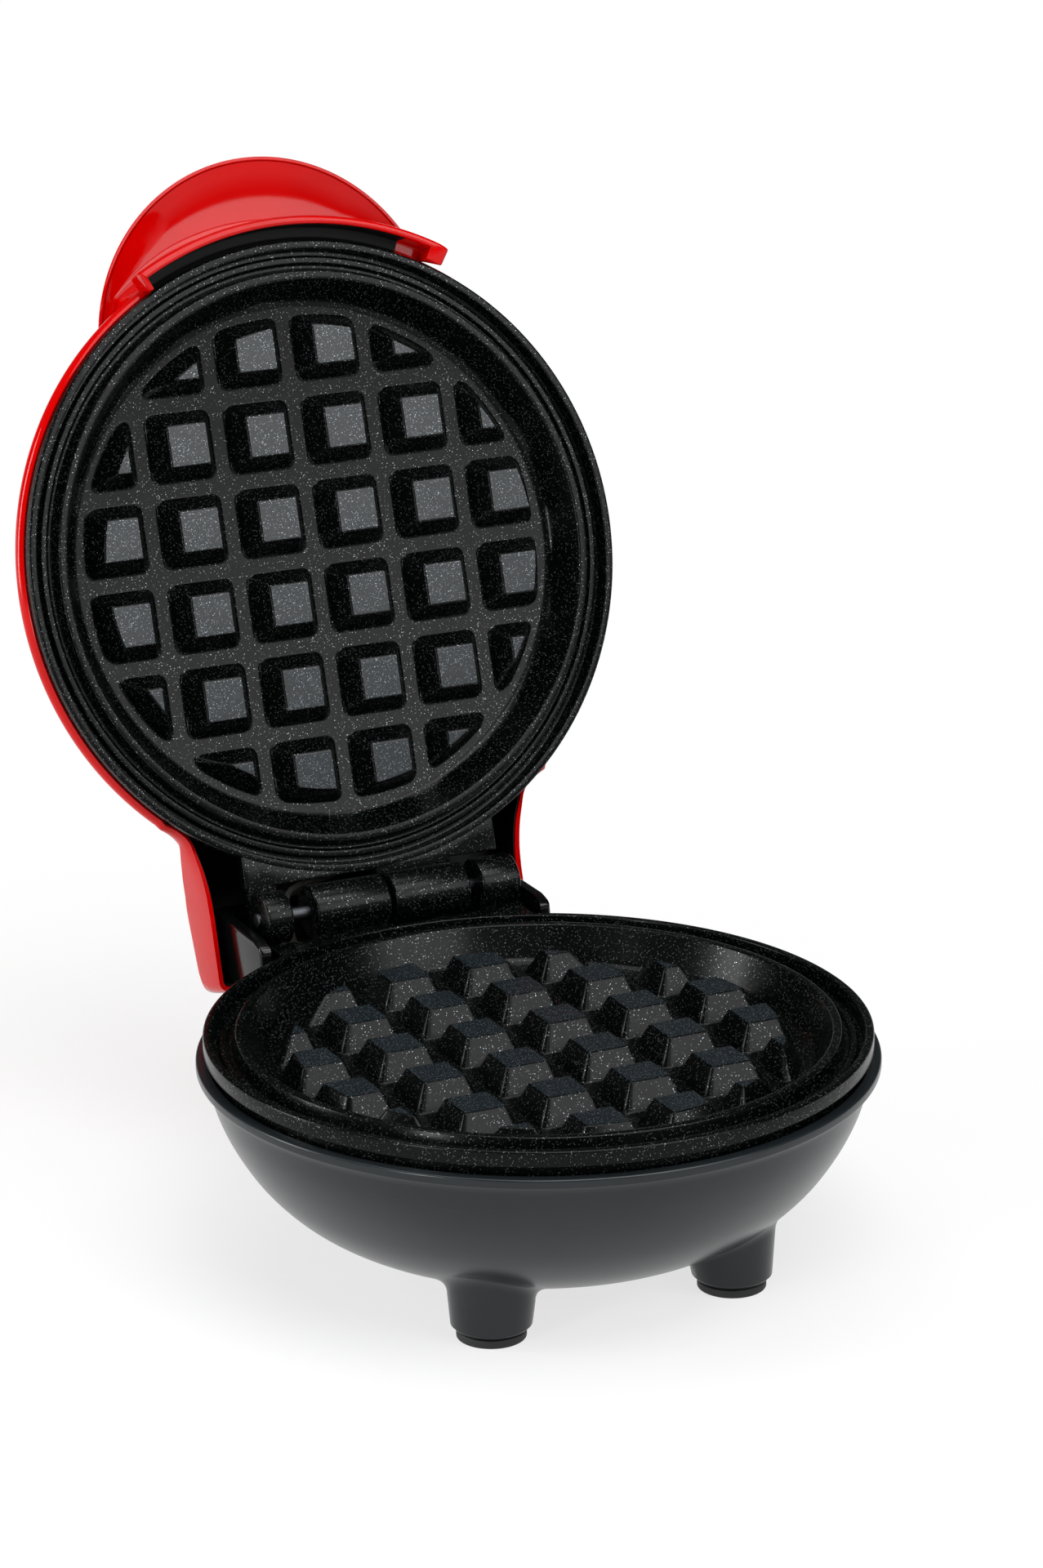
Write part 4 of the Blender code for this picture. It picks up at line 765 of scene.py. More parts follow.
@dataclass
class StudioStage:
    """A pale floor, soft lamps and the camera, at the photograph's viewing angle."""

    lens: float = 118.0
    azimuth: float = -26.168
    elevation: float = 18.178
    roll: float = -0.329
    right_mm: float = -0.1895 * PEG_PITCH
    up_mm: float = 3.0695 * PEG_PITCH
    back_mm: float = 57.152 * PEG_PITCH
    floor_radius: float = 9.0
    floor_steps: int = 64
    floor_grey: float = 0.9
    near_radius: float = 0.06
    far_radius: float = 0.24
    least_white: float = 0.72
    backdrop_top: float = 0.12
    dim_strength: float = 0.05
    lamps: tuple[SoftLamp, ...] = (
        SoftLamp("front", (0.52, -1.05, 0.71), (0.0, 0.0, 0.12), (0.8, 0.6), 6.5),
        SoftLamp("key", (0.1, -0.7, 1.3), (0.0, 0.0, 0.09), (1.1, 0.6), 12.0),
        SoftLamp("top", (-0.1, 0.1, 1.35), (0.0, 0.0, 0.0), (1.0, 1.0), 8.0),
        SoftLamp("edge", (-1.04, -0.52, 0.36), (0.0, 0.0, 0.06), (0.12, 0.5), 4.5),
        SoftLamp("left", (-1.15, 0.5, 0.45), (0.0, 0.0, 0.1), (0.3, 0.9), 8.0))

    def build(self) -> None:
        """Make the camera, the floor, the world and the lamps."""
        self.build_camera()
        self.build_floor()
        self.build_world()
        for lamp in self.lamps:
            lamp.build()
        bpy.context.scene.view_settings.view_transform = "Standard"

    def build_camera(self) -> None:
        """Place the camera: its offsets are along its own right, up and back from the plate's centre."""
        turn, rise, roll = (math.radians(value) for value in (self.azimuth, self.elevation, self.roll))
        back = Vector((math.sin(turn) * math.cos(rise), -math.cos(turn) * math.cos(rise), math.sin(rise)))
        level = Vector((0.0, 0.0, 1.0)).cross(back).normalized()
        upward = back.cross(level)
        right = math.cos(roll) * level + math.sin(roll) * upward
        up = -math.sin(roll) * level + math.cos(roll) * upward
        data = bpy.data.cameras.new("camera")
        data.lens = self.lens
        data.sensor_fit = "AUTO"
        camera = bpy.data.objects.new("camera", data)
        bpy.context.scene.collection.objects.link(camera)
        turned_frame = Matrix((right, up, back)).transposed().to_4x4()
        start = Vector((0.0, PLACING.centre_y, PLACING.floor_up))
        place = start + self.right_mm * right + self.up_mm * up + self.back_mm * back
        camera.matrix_world = Matrix.Translation(place * MM) @ turned_frame
        bpy.context.scene.camera = camera

    def floor_material(self) -> bpy.types.Material:
        """Pale paint that turns to plain white further out, for the camera, mirrors and glass.

        Returns:
            The material.
        """
        made = bpy.data.materials.new("studio_floor")
        made.use_nodes = True
        tree = made.node_tree
        tree.nodes.clear()
        place = add_node(tree, "ShaderNodeTexCoord")
        distance = add_node(tree, "ShaderNodeVectorMath", links={"Vector": place.outputs["Object"]},
                            operation="LENGTH")
        share = add_node(tree, "ShaderNodeMapRange",
                         {"From Min": self.near_radius, "From Max": self.far_radius,
                          "To Min": self.least_white},
                         {"Value": distance.outputs["Value"]}, interpolation_type="SMOOTHSTEP")
        path = add_node(tree, "ShaderNodeLightPath").outputs
        seen = add_node(tree, "ShaderNodeMath", links={0: path["Is Camera Ray"], 1: path["Is Glossy Ray"]},
                        operation="MAXIMUM")
        shown = add_node(tree, "ShaderNodeMath",
                         links={0: seen.outputs["Value"], 1: path["Is Transmission Ray"]},
                         operation="MAXIMUM")
        fade = add_node(tree, "ShaderNodeMath",
                        links={0: share.outputs["Result"], 1: shown.outputs["Value"]}, operation="MULTIPLY")
        lit = add_node(tree, "ShaderNodeBsdfDiffuse", {"Color": (*[self.floor_grey] * 3, 1.0)})
        white = add_node(tree, "ShaderNodeEmission", {"Color": WHITE, "Strength": 1.0})
        mixed = add_node(tree, "ShaderNodeMixShader",
                         links={0: fade.outputs["Value"], 1: lit.outputs["BSDF"],
                                2: white.outputs["Emission"]})
        add_node(tree, "ShaderNodeOutputMaterial", links={"Surface": mixed.outputs["Shader"]})
        return made

    def build_floor(self) -> None:
        """A wide disc under the maker, which takes its shadow."""
        ring = np.linspace(0.0, 2 * np.pi, self.floor_steps, endpoint=False)
        points = np.stack([self.floor_radius * np.cos(ring), self.floor_radius * np.sin(ring),
                           np.zeros(self.floor_steps)], axis=1)
        mesh = bpy.data.meshes.new("studio_floor")
        mesh.from_pydata(points, [], [list(range(self.floor_steps))])
        mesh.materials.append(self.floor_material())
        floor = bpy.data.objects.new("studio_floor", mesh)
        bpy.context.scene.collection.objects.link(floor)

    def build_world(self) -> None:
        """White past the floor for the camera, and low down in mirrors and glass; else a dim even grey."""
        world = bpy.data.worlds.new("studio")
        bpy.context.scene.world = world
        world.use_nodes = True
        tree = world.node_tree
        tree.nodes.clear()
        place = add_node(tree, "ShaderNodeTexCoord")
        height = add_node(tree, "ShaderNodeSeparateXYZ", links={"Vector": place.outputs["Object"]})
        low = add_node(tree, "ShaderNodeMapRange", {"From Min": self.backdrop_top, "From Max": 0.0},
                       {"Value": height.outputs["Z"]})
        path = add_node(tree, "ShaderNodeLightPath").outputs
        indirect = add_node(tree, "ShaderNodeMath",
                            links={0: path["Is Glossy Ray"], 1: path["Is Transmission Ray"]},
                            operation="MAXIMUM")
        mirrored = add_node(tree, "ShaderNodeMath",
                            links={0: indirect.outputs["Value"], 1: low.outputs["Result"]},
                            operation="MULTIPLY")
        shown = add_node(tree, "ShaderNodeMath",
                         links={0: path["Is Camera Ray"], 1: mirrored.outputs["Value"]}, operation="MAXIMUM")
        dim = add_node(tree, "ShaderNodeBackground", {"Color": WHITE, "Strength": self.dim_strength})
        white = add_node(tree, "ShaderNodeBackground", {"Color": WHITE, "Strength": 1.0})
        mixed = add_node(tree, "ShaderNodeMixShader",
                         links={0: shown.outputs["Value"], 1: dim.outputs["Background"],
                                2: white.outputs["Background"]})
        add_node(tree, "ShaderNodeOutputWorld", links={"Surface": mixed.outputs["Shader"]})


@dataclass
class CookingPlate:
    """One cast plate: dish, rims, pegs, hinge tab and knuckles.

    All heights are from its own cooking floor. The upper plate is the same casting turned over in
    the lid frame, half a turn about y.
    """

    name: str
    body: Body
    knuckles: Outline
    post_tip: float
    profile: Outline = (
        (0.0, 0.0), (50.7, 0.0), (53.9, 7.2), (55.5, 7.2), (56.1, 4.2), (56.8, 4.2), (57.2, 4.9),
        (58.3, 4.9), (58.6, 3.7), (59.6, 3.7), (59.8, 6.9), (61.4, 6.9), (61.4, 3.9), (60.2, 3.6),
        (60.2, 1.8), (57.0, 0.4), (54.5, -3.0), (0.0, -3.0))
    profile_radii: tuple[float, ...] = (2.4, 0.5, 0.4, *(0.25,) * 6, 0.3, 0.45, 0.4, 0.2, 0.2, 0.5, 0.8)
    steps: int = 192
    pitch: float = PEG_PITCH
    rows: int = 6
    peg_base: float = 13.2
    peg_top: float = 8.2
    peg_height: float = 4.96
    peg_field: float = 47.9
    peg_edge: float = 0.4
    peg_fillet: float = 0.6
    peg_corner: float = 0.35
    corner_growth: float = 0.6
    peg_angles: int = 104
    corner_crowding: float = 0.75
    least_corner: float = 0.15
    skirt_reach: float = 2.0
    root_inset: float = 1.0
    root_sink: float = 0.6
    foot_sink: float = 0.02
    row_gap: float = 0.25
    level_slack: float = 0.01
    core_trials: int = 41
    halvings: int = 30
    tab_half: float = 26.8
    tab_end: float = 61.5
    tab_arc: float = 60.6
    tab_top: float = 6.8
    tab_foot: float = 4.0
    tab_steps: int = 40
    tab_edge: float = 0.35
    web_end: float = 65.2
    knuckle_radius: float = 5.2
    bore_radius: float = 1.65
    knuckle_steps: int = 72
    knuckle_edge: float = 0.45
    post_place: Pair = (24.4, 29.8)
    post_radius: float = 4.0
    post_tip_radius: float = 2.8
    post_shoulder: float = -9.8
    post_root: float = -2.2
    post_edge: float = 0.3
    post_steps: int = 32
    boss_radius: float = 4.0
    hinge_back: float = PLACING.hinge_back
    hinge_up: float = PLACING.hinge_up

    def dress(self, coating: bpy.types.Material, painted_lit_tops: bpy.types.Material) -> None:
        """Build the plate in place of its solid.

        Args:
            coating: Finish of the casting.
            painted_lit_tops: Finish of the pegs' flat tops, the coating painted lighter as painted light.
        """
        skin = Skin()
        skin.grid(turned(eased_profile(self.profile, self.profile_radii), self.steps))
        self.add_pegs(skin)
        self.add_hinge(skin)
        self.add_posts(skin)
        if self.body is Body.LID:
            skin.points = [self.turned_over(points) for points in skin.points]
        skin.piece(f"{self.name}_casting", self.name, self.body, [coating, painted_lit_tops], "nonstick_coating")

    def turned_over(self, points: np.ndarray) -> np.ndarray:
        """Turn points over about the hinge's height: x and the height above it change sign."""
        return np.stack([-points[:, 0], points[:, 1], 2 * self.hinge_up - points[:, 2]], axis=1)

    def peg_centres(self) -> np.ndarray:
        """Place the pegs on a square grid without its four corners.

        Returns:
            Rows of x and y.
        """
        middle = (self.rows - 1) / 2
        lines = np.arange(self.rows) - middle
        across, along = np.meshgrid(lines, lines)
        places = np.stack([across.ravel(), along.ravel()], axis=1)
        kept = ~((np.abs(places) == middle).all(axis=1))
        return places[kept] * self.pitch

    def peg_distance(self, spot: np.ndarray, centre: np.ndarray, grown: np.ndarray) -> np.ndarray:
        """Distance outside a peg's rounded section.

        The section is the peg's square cut by the round field, both grown alike. With the corner
        radius taken off the walls, the distance is the length of the positive wall distances, plus
        the largest of them where all are negative, less the radius.

        Args:
            spot: Points to test, x and y in the last axis.
            centre: The peg's centre.
            grown: How far the section stands outside the one at the peg's top.

        Returns:
            Distances, negative inside.
        """
        corner = np.clip(self.peg_corner + self.corner_growth * grown, self.least_corner, None)
        field = self.peg_field - (self.peg_base - self.peg_top) / 2
        walls = np.stack([np.abs(spot[..., 0] - centre[..., 0]) - (self.peg_top / 2 + grown - corner),
                          np.abs(spot[..., 1] - centre[..., 1]) - (self.peg_top / 2 + grown - corner),
                          np.linalg.norm(spot, axis=-1) - (field + grown - corner)], axis=-1)
        outside = np.sqrt((np.maximum(walls, 0.0) ** 2).sum(axis=-1))
        return outside + np.minimum(walls.max(axis=-1), 0.0) - corner

    def add_pegs(self, skin: Skin) -> None:
        """Add the pegs, each a stack of level curves.

        Every level keeps an offset from the top's outline and a height, from a rounded profile of
        top, wall, fillet and floor. Along each angle the level's radius is found by halving.

        Args:
            skin: The plate's skin.
        """
        spread = (self.peg_base - self.peg_top) / 2
        corners = ((-self.peg_top / 2, self.peg_height), (0.0, self.peg_height), (spread, 0.0),
                   (spread + self.skirt_reach, 0.0))
        levels = eased_profile(corners, (self.peg_edge, self.peg_fillet))
        levels = np.vstack([levels, (spread + self.root_inset, -self.root_sink),
                            (-self.peg_top / 2 - self.root_inset, -self.root_sink)])
        levels[-3] = (levels[-4, 0] + self.row_gap, -self.foot_sink)
        levels = np.insert(levels, 1, (levels[1, 0] - self.row_gap, self.peg_height), axis=0)
        centres = self.peg_centres()
        trial = np.linspace(-self.peg_top / 2, self.peg_top / 2, self.core_trials)
        offsets = np.stack(np.meshgrid(trial, trial), axis=-1).reshape(-1, 2)
        spots = centres[:, None, :] + offsets[None, :, :]
        depth = self.peg_distance(spots, centres[:, None, :], np.zeros(spots.shape[:2]))
        cores = spots[np.arange(len(centres)), depth.argmin(axis=1)]
        angles = np.linspace(0.0, 2 * np.pi, self.peg_angles, endpoint=False)
        angles += self.corner_crowding / 4 * np.sin(4 * angles)
        rays = np.stack([np.cos(angles), np.sin(angles)], axis=1)
        shape = (len(centres), len(levels), self.peg_angles)
        low, high = np.zeros(shape), np.full(shape, self.pitch)
        grown = np.broadcast_to(levels[None, :, None, 0], shape)
        for _ in range(self.halvings):
            middle = (low + high) / 2
            spot = cores[:, None, None, :] + middle[..., None] * rays[None, None, :, :]
            inside = self.peg_distance(spot, centres[:, None, None, :], grown) < 0
            low = np.where(inside, middle, low)
            high = np.where(inside, high, middle)
        flat = cores[:, None, None, :] + low[..., None] * rays[None, None, :, :]
        height = np.broadcast_to(levels[None, :, None, 1:2], (*shape, 1))
        edge = int(np.argmax(levels[:, 1] < self.peg_height - self.level_slack))
        # The tops take the second finish: the coating painted lighter, as painted light on them
        for peg in np.concatenate([flat, height], axis=-1):
            skin.grid(peg[:edge], slot=SECOND_FINISH)
            skin.grid(peg[edge - 1:])

    def add_hinge(self, skin: Skin) -> None:
        """Add the tab behind the rim, its webs and the knuckles that they carry.

        Args:
            skin: The plate's skin.
        """
        spread = math.asin(self.tab_half / self.tab_arc)
        turns = np.linspace(spread, -spread, self.tab_steps + 1)
        outline = [(self.tab_arc * math.sin(turn), self.tab_arc * math.cos(turn)) for turn in turns]
        outline.append((-self.tab_half, self.tab_end))
        for left, right in sorted(self.knuckles):
            outline += [(left, self.tab_end), (left, self.web_end),
                        (right, self.web_end), (right, self.tab_end)]
        outline.append((self.tab_half, self.tab_end))
        tab = list(dict.fromkeys(outline))
        skin.shape(slab(tab, self.tab_foot, self.tab_top, Axis.Z, self.tab_edge))
        for left, right in self.knuckles:
            barrel = ((left, self.bore_radius), (left, self.knuckle_radius), (right, self.knuckle_radius),
                      (right, self.bore_radius))
            rounded = eased_profile(barrel, self.knuckle_edge)
            skin.grid(turned_along(np.vstack([rounded, rounded[:1]]), self.knuckle_steps,
                                   (self.hinge_back, self.hinge_up), Axis.X))

    def add_posts(self, skin: Skin) -> None:
        """Add the stepped posts on the back, which carry the reflector and meet the shell.

        Args:
            skin: The plate's skin.
        """
        across, along = self.post_place
        outline = ((0.0, self.post_root), (self.post_radius, self.post_root),
                   (self.post_radius, self.post_shoulder), (self.post_tip_radius, self.post_shoulder),
                   (self.post_tip_radius, self.post_tip), (0.0, self.post_tip))
        post = eased_profile(outline, self.post_edge)
        for side in (-1, 1):
            for end in (-1, 1):
                skin.grid(turned(post, self.post_steps, (side * across, end * along)))
        boss = ((0.0, self.post_root), (self.boss_radius, self.post_root),
                (self.boss_radius, self.post_shoulder), (0.0, self.post_shoulder))
        skin.grid(turned(np.array(boss), self.post_steps))


@dataclass
class BaseShell:
    """The lower case: lip and bowl, four legs, the housing round the hinge and the cord's block."""

    steps: int = 192
    lip_radius: float = 62.8
    lip_top: float = 2.2
    lip_foot: float = 0.5
    lip_edge: float = 0.4
    mouth: float = 60.5
    bowl_radius: float = 60.9
    bowl_top: float = -0.4
    bowl_depth: float = 32.15
    bowl_shares: Outline = (
        (1.0, 0.0), (0.976, 0.18), (0.93, 0.37), (0.858, 0.57), (0.76, 0.745), (0.64, 0.874), (0.5, 0.95),
        (0.34, 0.987), (0.17, 0.998), (0.0, 1.0))
    wall: float = 2.2
    front_legs: Outline = ((-24.4, -29.8), (24.4, -29.8))
    back_legs: Outline = ((-20.0, 54.0), (20.0, 54.0))
    leg_radius: float = 7.9
    leg_foot_radius: float = 7.4
    leg_foot: float = -36.1
    leg_edge: float = 0.8
    leg_steps: int = 96
    flare: float = 2.4
    flare_rows: int = 13
    least_wall: float = 0.8
    tuck_out: float = 0.3
    tuck_in: float = 0.5
    tuck_sinks: tuple[float, ...] = (0.3, 1.0, 1.1, 1.1, 1.1)
    foot_radii: Place = (0.1, 0.2, 0.3)
    back_leg_top: float = -12.0
    recess_radius: float = 5.4
    recess_top: float = -33.6
    pockets: Outline = ((-24.4, 29.8), (24.4, 29.8))
    pocket_radius: float = 3.2
    pocket_seat: float = -22.5
    boss_radius: float = 4.7
    boss_top: float = -17.8
    boss_sink: float = 0.6
    boss_steps: int = 48
    housing_half: float = 30.8
    housing_radius: float = 13.3
    housing_front: float = 40.0
    housing_foot: float = -19.5
    cheek_top: float = 9.0
    cheek_front: float = 56.3
    cheek_root: float = 54.2
    cheek_shelf: float = 1.5
    cheek_nose: float = 3.6
    nose_shares: Outline = ((1.0, 0.0), (0.19, 0.25), (0.0, 0.8))
    stop_face: float = 16.7
    stop_end: float = 82.9
    arc_points: int = 25
    edge: float = 0.6
    inner_edge: float = 0.3
    room_above: float = 5.0
    window: tuple[float, ...] = (44.0, 62.9, -6.9, -3.0)
    window_half: float = 21.0
    block_half: float = 9.5
    block_span: Pair = (44.0, 66.0)
    block_heights: Pair = (-23.5, -7.5)
    block_edge: float = 0.5
    overrun: float = 1.0
    gland_height: float = -15.6
    gland_bore: float = 5.2
    gland_steps: int = 64

    def dress(self, charcoal: bpy.types.Material, black: bpy.types.Material) -> None:
        """Build the case in place of its solid.

        Args:
            charcoal: Finish of the bowl, the legs and the cord's block.
            black: Finish of the hinge housing.
        """
        skin = Skin()
        skin.shape(self.bowl())
        for centre in self.front_legs:
            skin.grid(self.front_leg(centre))
        for centre in self.back_legs:
            skin.grid(self.back_leg(centre))
        skin.shape(self.housing(), slot=SECOND_FINISH)
        skin.shape(self.cord_block())
        skin.piece("base_case", "base_shell", Body.BASE, [charcoal, black], "charcoal_plastic",
                   sharp_degrees=35.0)

    def bowl_curve(self, inset: float) -> np.ndarray:
        """Scale the bowl's shares to its radius and depth, each less an inset.

        Args:
            inset: How far inside the outer face the curve lies.

        Returns:
            Rows of radius and height, from the rim down to the middle.
        """
        shares = fair_curve(self.bowl_shares, 5)
        return np.stack([(self.bowl_radius - inset) * shares[:, 0],
                         self.bowl_top - (self.bowl_depth - inset) * shares[:, 1]], axis=1)

    def bowl_height(self, radius: np.ndarray) -> np.ndarray:
        """Height of the bowl's outside, read from its curve.

        Args:
            radius: Distances from the middle.

        Returns:
            Heights.
        """
        curve = self.bowl_curve(0.0)[::-1]
        return np.interp(radius, curve[:, 0], curve[:, 1])

    def bowl(self) -> Form:
        """Lip, bowl and the rear bosses, with the screws' pockets and the leads' window cut.

        Returns:
            The closed form.
        """
        outside = self.bowl_curve(0.0)
        inside = self.bowl_curve(self.wall)
        lip = [(self.mouth, 0.0), (self.mouth, self.lip_top), (self.lip_radius, self.lip_top),
               (self.lip_radius, self.lip_foot), (self.bowl_radius + self.lip_edge, 0.0), tuple(outside[0])]
        rim = eased_profile(lip, self.lip_edge)
        profile = np.vstack([inside[::-1], rim, outside[1:]])
        body = formed(turned(profile, self.steps))
        low = self.bowl_height(np.hypot(*self.pockets[0])) + self.boss_sink
        bosses = self.rods(self.boss_radius, low, self.boss_top)
        pockets = self.rods(self.pocket_radius, self.leg_foot, self.pocket_seat)
        front, back, low, high = self.window
        outline = ((front, low), (back, low), (back, high), (front, high))
        window = slab(outline, -self.window_half, self.window_half, Axis.X, self.inner_edge)
        return carved(carved(body, bosses, Carving.JOIN), [*pockets, window], Carving.CUT)

    def rods(self, radius: float, low: float, high: float) -> list[Form]:
        """Upright rods, one at each of the rear screws: a rectangle of radius and height goes round.

        Args:
            radius: Their radius.
            low: Height of their foot.
            high: Height of their top.

        Returns:
            The closed forms.
        """
        outline = np.array([(0.0, low), (radius, low), (radius, high), (0.0, high)])
        return [formed(turned(outline, self.boss_steps, centre)) for centre in self.pockets]

    def foot_rows(self) -> list[Pair]:
        """Recess, flat foot and bevel of a leg.

        Returns:
            Pairs of radius and height.
        """
        rows = eased_profile([(0.0, self.recess_top), (self.recess_radius, self.recess_top),
                              (self.recess_radius, self.leg_foot),
                              (self.leg_foot_radius - self.leg_edge, self.leg_foot),
                              (self.leg_foot_radius, self.leg_foot + self.leg_edge)], self.foot_radii)
        return [tuple(row) for row in rows]

    def front_leg(self, centre: Pair) -> np.ndarray:
        """A leg that flares into the bowl.

        Above the wall, each angle follows a quadratic Bezier curve. Its control points are the wall
        where the flare starts, the wall where it would meet the bowl, and the bowl's own surface
        one flare further out. Its last rows close it inside the bowl's wall.

        Args:
            centre: The leg's place, x and y.

        Returns:
            A grid of points, one column for each angle.
        """
        angles = np.linspace(0.0, 2 * np.pi, self.leg_steps, endpoint=False)
        rays = np.stack([np.cos(angles), np.sin(angles)], axis=1)

        def bowl_at(reach: float) -> np.ndarray:
            """Heights of the bowl round the leg's middle at a reach."""
            spots = np.asarray(centre) + reach * rays
            return self.bowl_height(np.linalg.norm(spots, axis=1))

        rows = []
        for radius, height in self.foot_rows():
            rows.append((np.full(self.leg_steps, radius), np.full(self.leg_steps, height)))
        wall = bowl_at(self.leg_radius)
        end = bowl_at(self.leg_radius + self.flare)
        start = np.maximum(wall - self.flare, self.leg_foot + self.leg_edge + self.least_wall)
        for share in np.linspace(0.0, 1.0, self.flare_rows):
            first, second, third = (1 - share) ** 2, 2 * share * (1 - share), share ** 2
            reach = (first + second) * self.leg_radius + third * (self.leg_radius + self.flare)
            rows.append((np.full(self.leg_steps, reach), first * start + second * wall + third * end))
        outer = self.leg_radius + self.flare
        reaches = (outer + self.tuck_out, outer - self.tuck_in, self.leg_radius, self.leg_radius / 2, 0.0)
        for reach, sink in zip(reaches, self.tuck_sinks):
            rows.append((np.full(self.leg_steps, reach), bowl_at(reach) + sink))
        return np.stack([np.stack([centre[0] + reach * rays[:, 0], centre[1] + reach * rays[:, 1], height],
                                  axis=1) for reach, height in rows])

    def back_leg(self, centre: Pair) -> np.ndarray:
        """A straight leg, turned about its middle, that runs up into the housing.

        Args:
            centre: The leg's place, x and y.

        Returns:
            A grid of points, one column for each angle.
        """
        rows = [*self.foot_rows(), (self.leg_radius, self.back_leg_top), (0.0, self.back_leg_top)]
        return turned(np.array(rows), self.leg_steps, centre)

    def side_outline(self, inset: float, low: float) -> list[Pair]:
        """The housing's arc round the hinge, from a height up to the stop face, and its floor.

        The stop face lies level on the open lid, so it is worked out there and turned with it.

        Args:
            inset: How far inside the outer face the outline lies.
            low: Height that the arc starts at.

        Returns:
            Pairs of y and z.
        """
        radius = self.housing_radius - inset
        face = self.stop_face - inset
        back, up = PLACING.hinge_back, PLACING.hinge_up
        turn = math.radians(PLACING.open_degrees)

        def opened(y: float, z: float) -> Pair:
            """Turn a point of the lid frame by the opening angle."""
            away, rise = y - back, z - up
            return (back + away * math.cos(turn) + rise * math.sin(turn),
                    up - away * math.sin(turn) + rise * math.cos(turn))

        meet = opened(back + math.sqrt(radius ** 2 - (face - up) ** 2), face)
        first = math.asin((low - up) / radius)
        last = math.atan2(meet[1] - up, meet[0] - back)
        outline = [(back + radius * math.cos(angle), up + radius * math.sin(angle))
                   for angle in np.linspace(first, last, self.arc_points)]
        outline.append(opened(self.stop_end - inset / 2, face))
        outline.append((self.housing_front, self.housing_foot + inset))
        return outline

    def housing(self) -> Form:
        """The housing from cheek to cheek, open at the top, its cheeks' noses rounded.

        Returns:
            The closed form.
        """
        outline = self.side_outline(0.0, self.cheek_top)
        outline += [(self.housing_front, self.bowl_top), (self.cheek_root, self.cheek_shelf),
                    (self.cheek_front, self.cheek_shelf)]
        nose = fair_curve([(self.cheek_front + self.cheek_nose * back,
                            self.cheek_top - self.cheek_nose * down)
                           for back, down in reversed(self.nose_shares)], 4)
        outline += [tuple(point) for point in nose]
        solid = slab(outline, -self.housing_half, self.housing_half, Axis.X, self.edge)
        room = self.side_outline(self.wall, PLACING.hinge_up)
        back = PLACING.hinge_back + self.housing_radius - self.wall
        above = self.cheek_top + self.room_above
        room += [(self.housing_front, above), (back, above)]
        half = self.housing_half - self.wall
        return carved(solid, [slab(room, -half, half, Axis.X, self.inner_edge)], Carving.CUT)

    def cord_block(self) -> Form:
        """The block in the rear wall that the gland sits in.

        Returns:
            The closed form, bored through.
        """
        (front, back), (low, high) = self.block_span, self.block_heights
        outline = ((front, low), (back, low), (back, high), (front, high))
        solid = slab(outline, -self.block_half, self.block_half, Axis.X, self.block_edge)
        start, stop = front - self.overrun, back + self.overrun
        bore = np.array([(start, 0.0), (start, self.gland_bore), (stop, self.gland_bore), (stop, 0.0)])
        tool = formed(turned_along(bore, self.gland_steps, (0.0, self.gland_height), Axis.Y))
        return carved(solid, [tool], Carving.CUT)


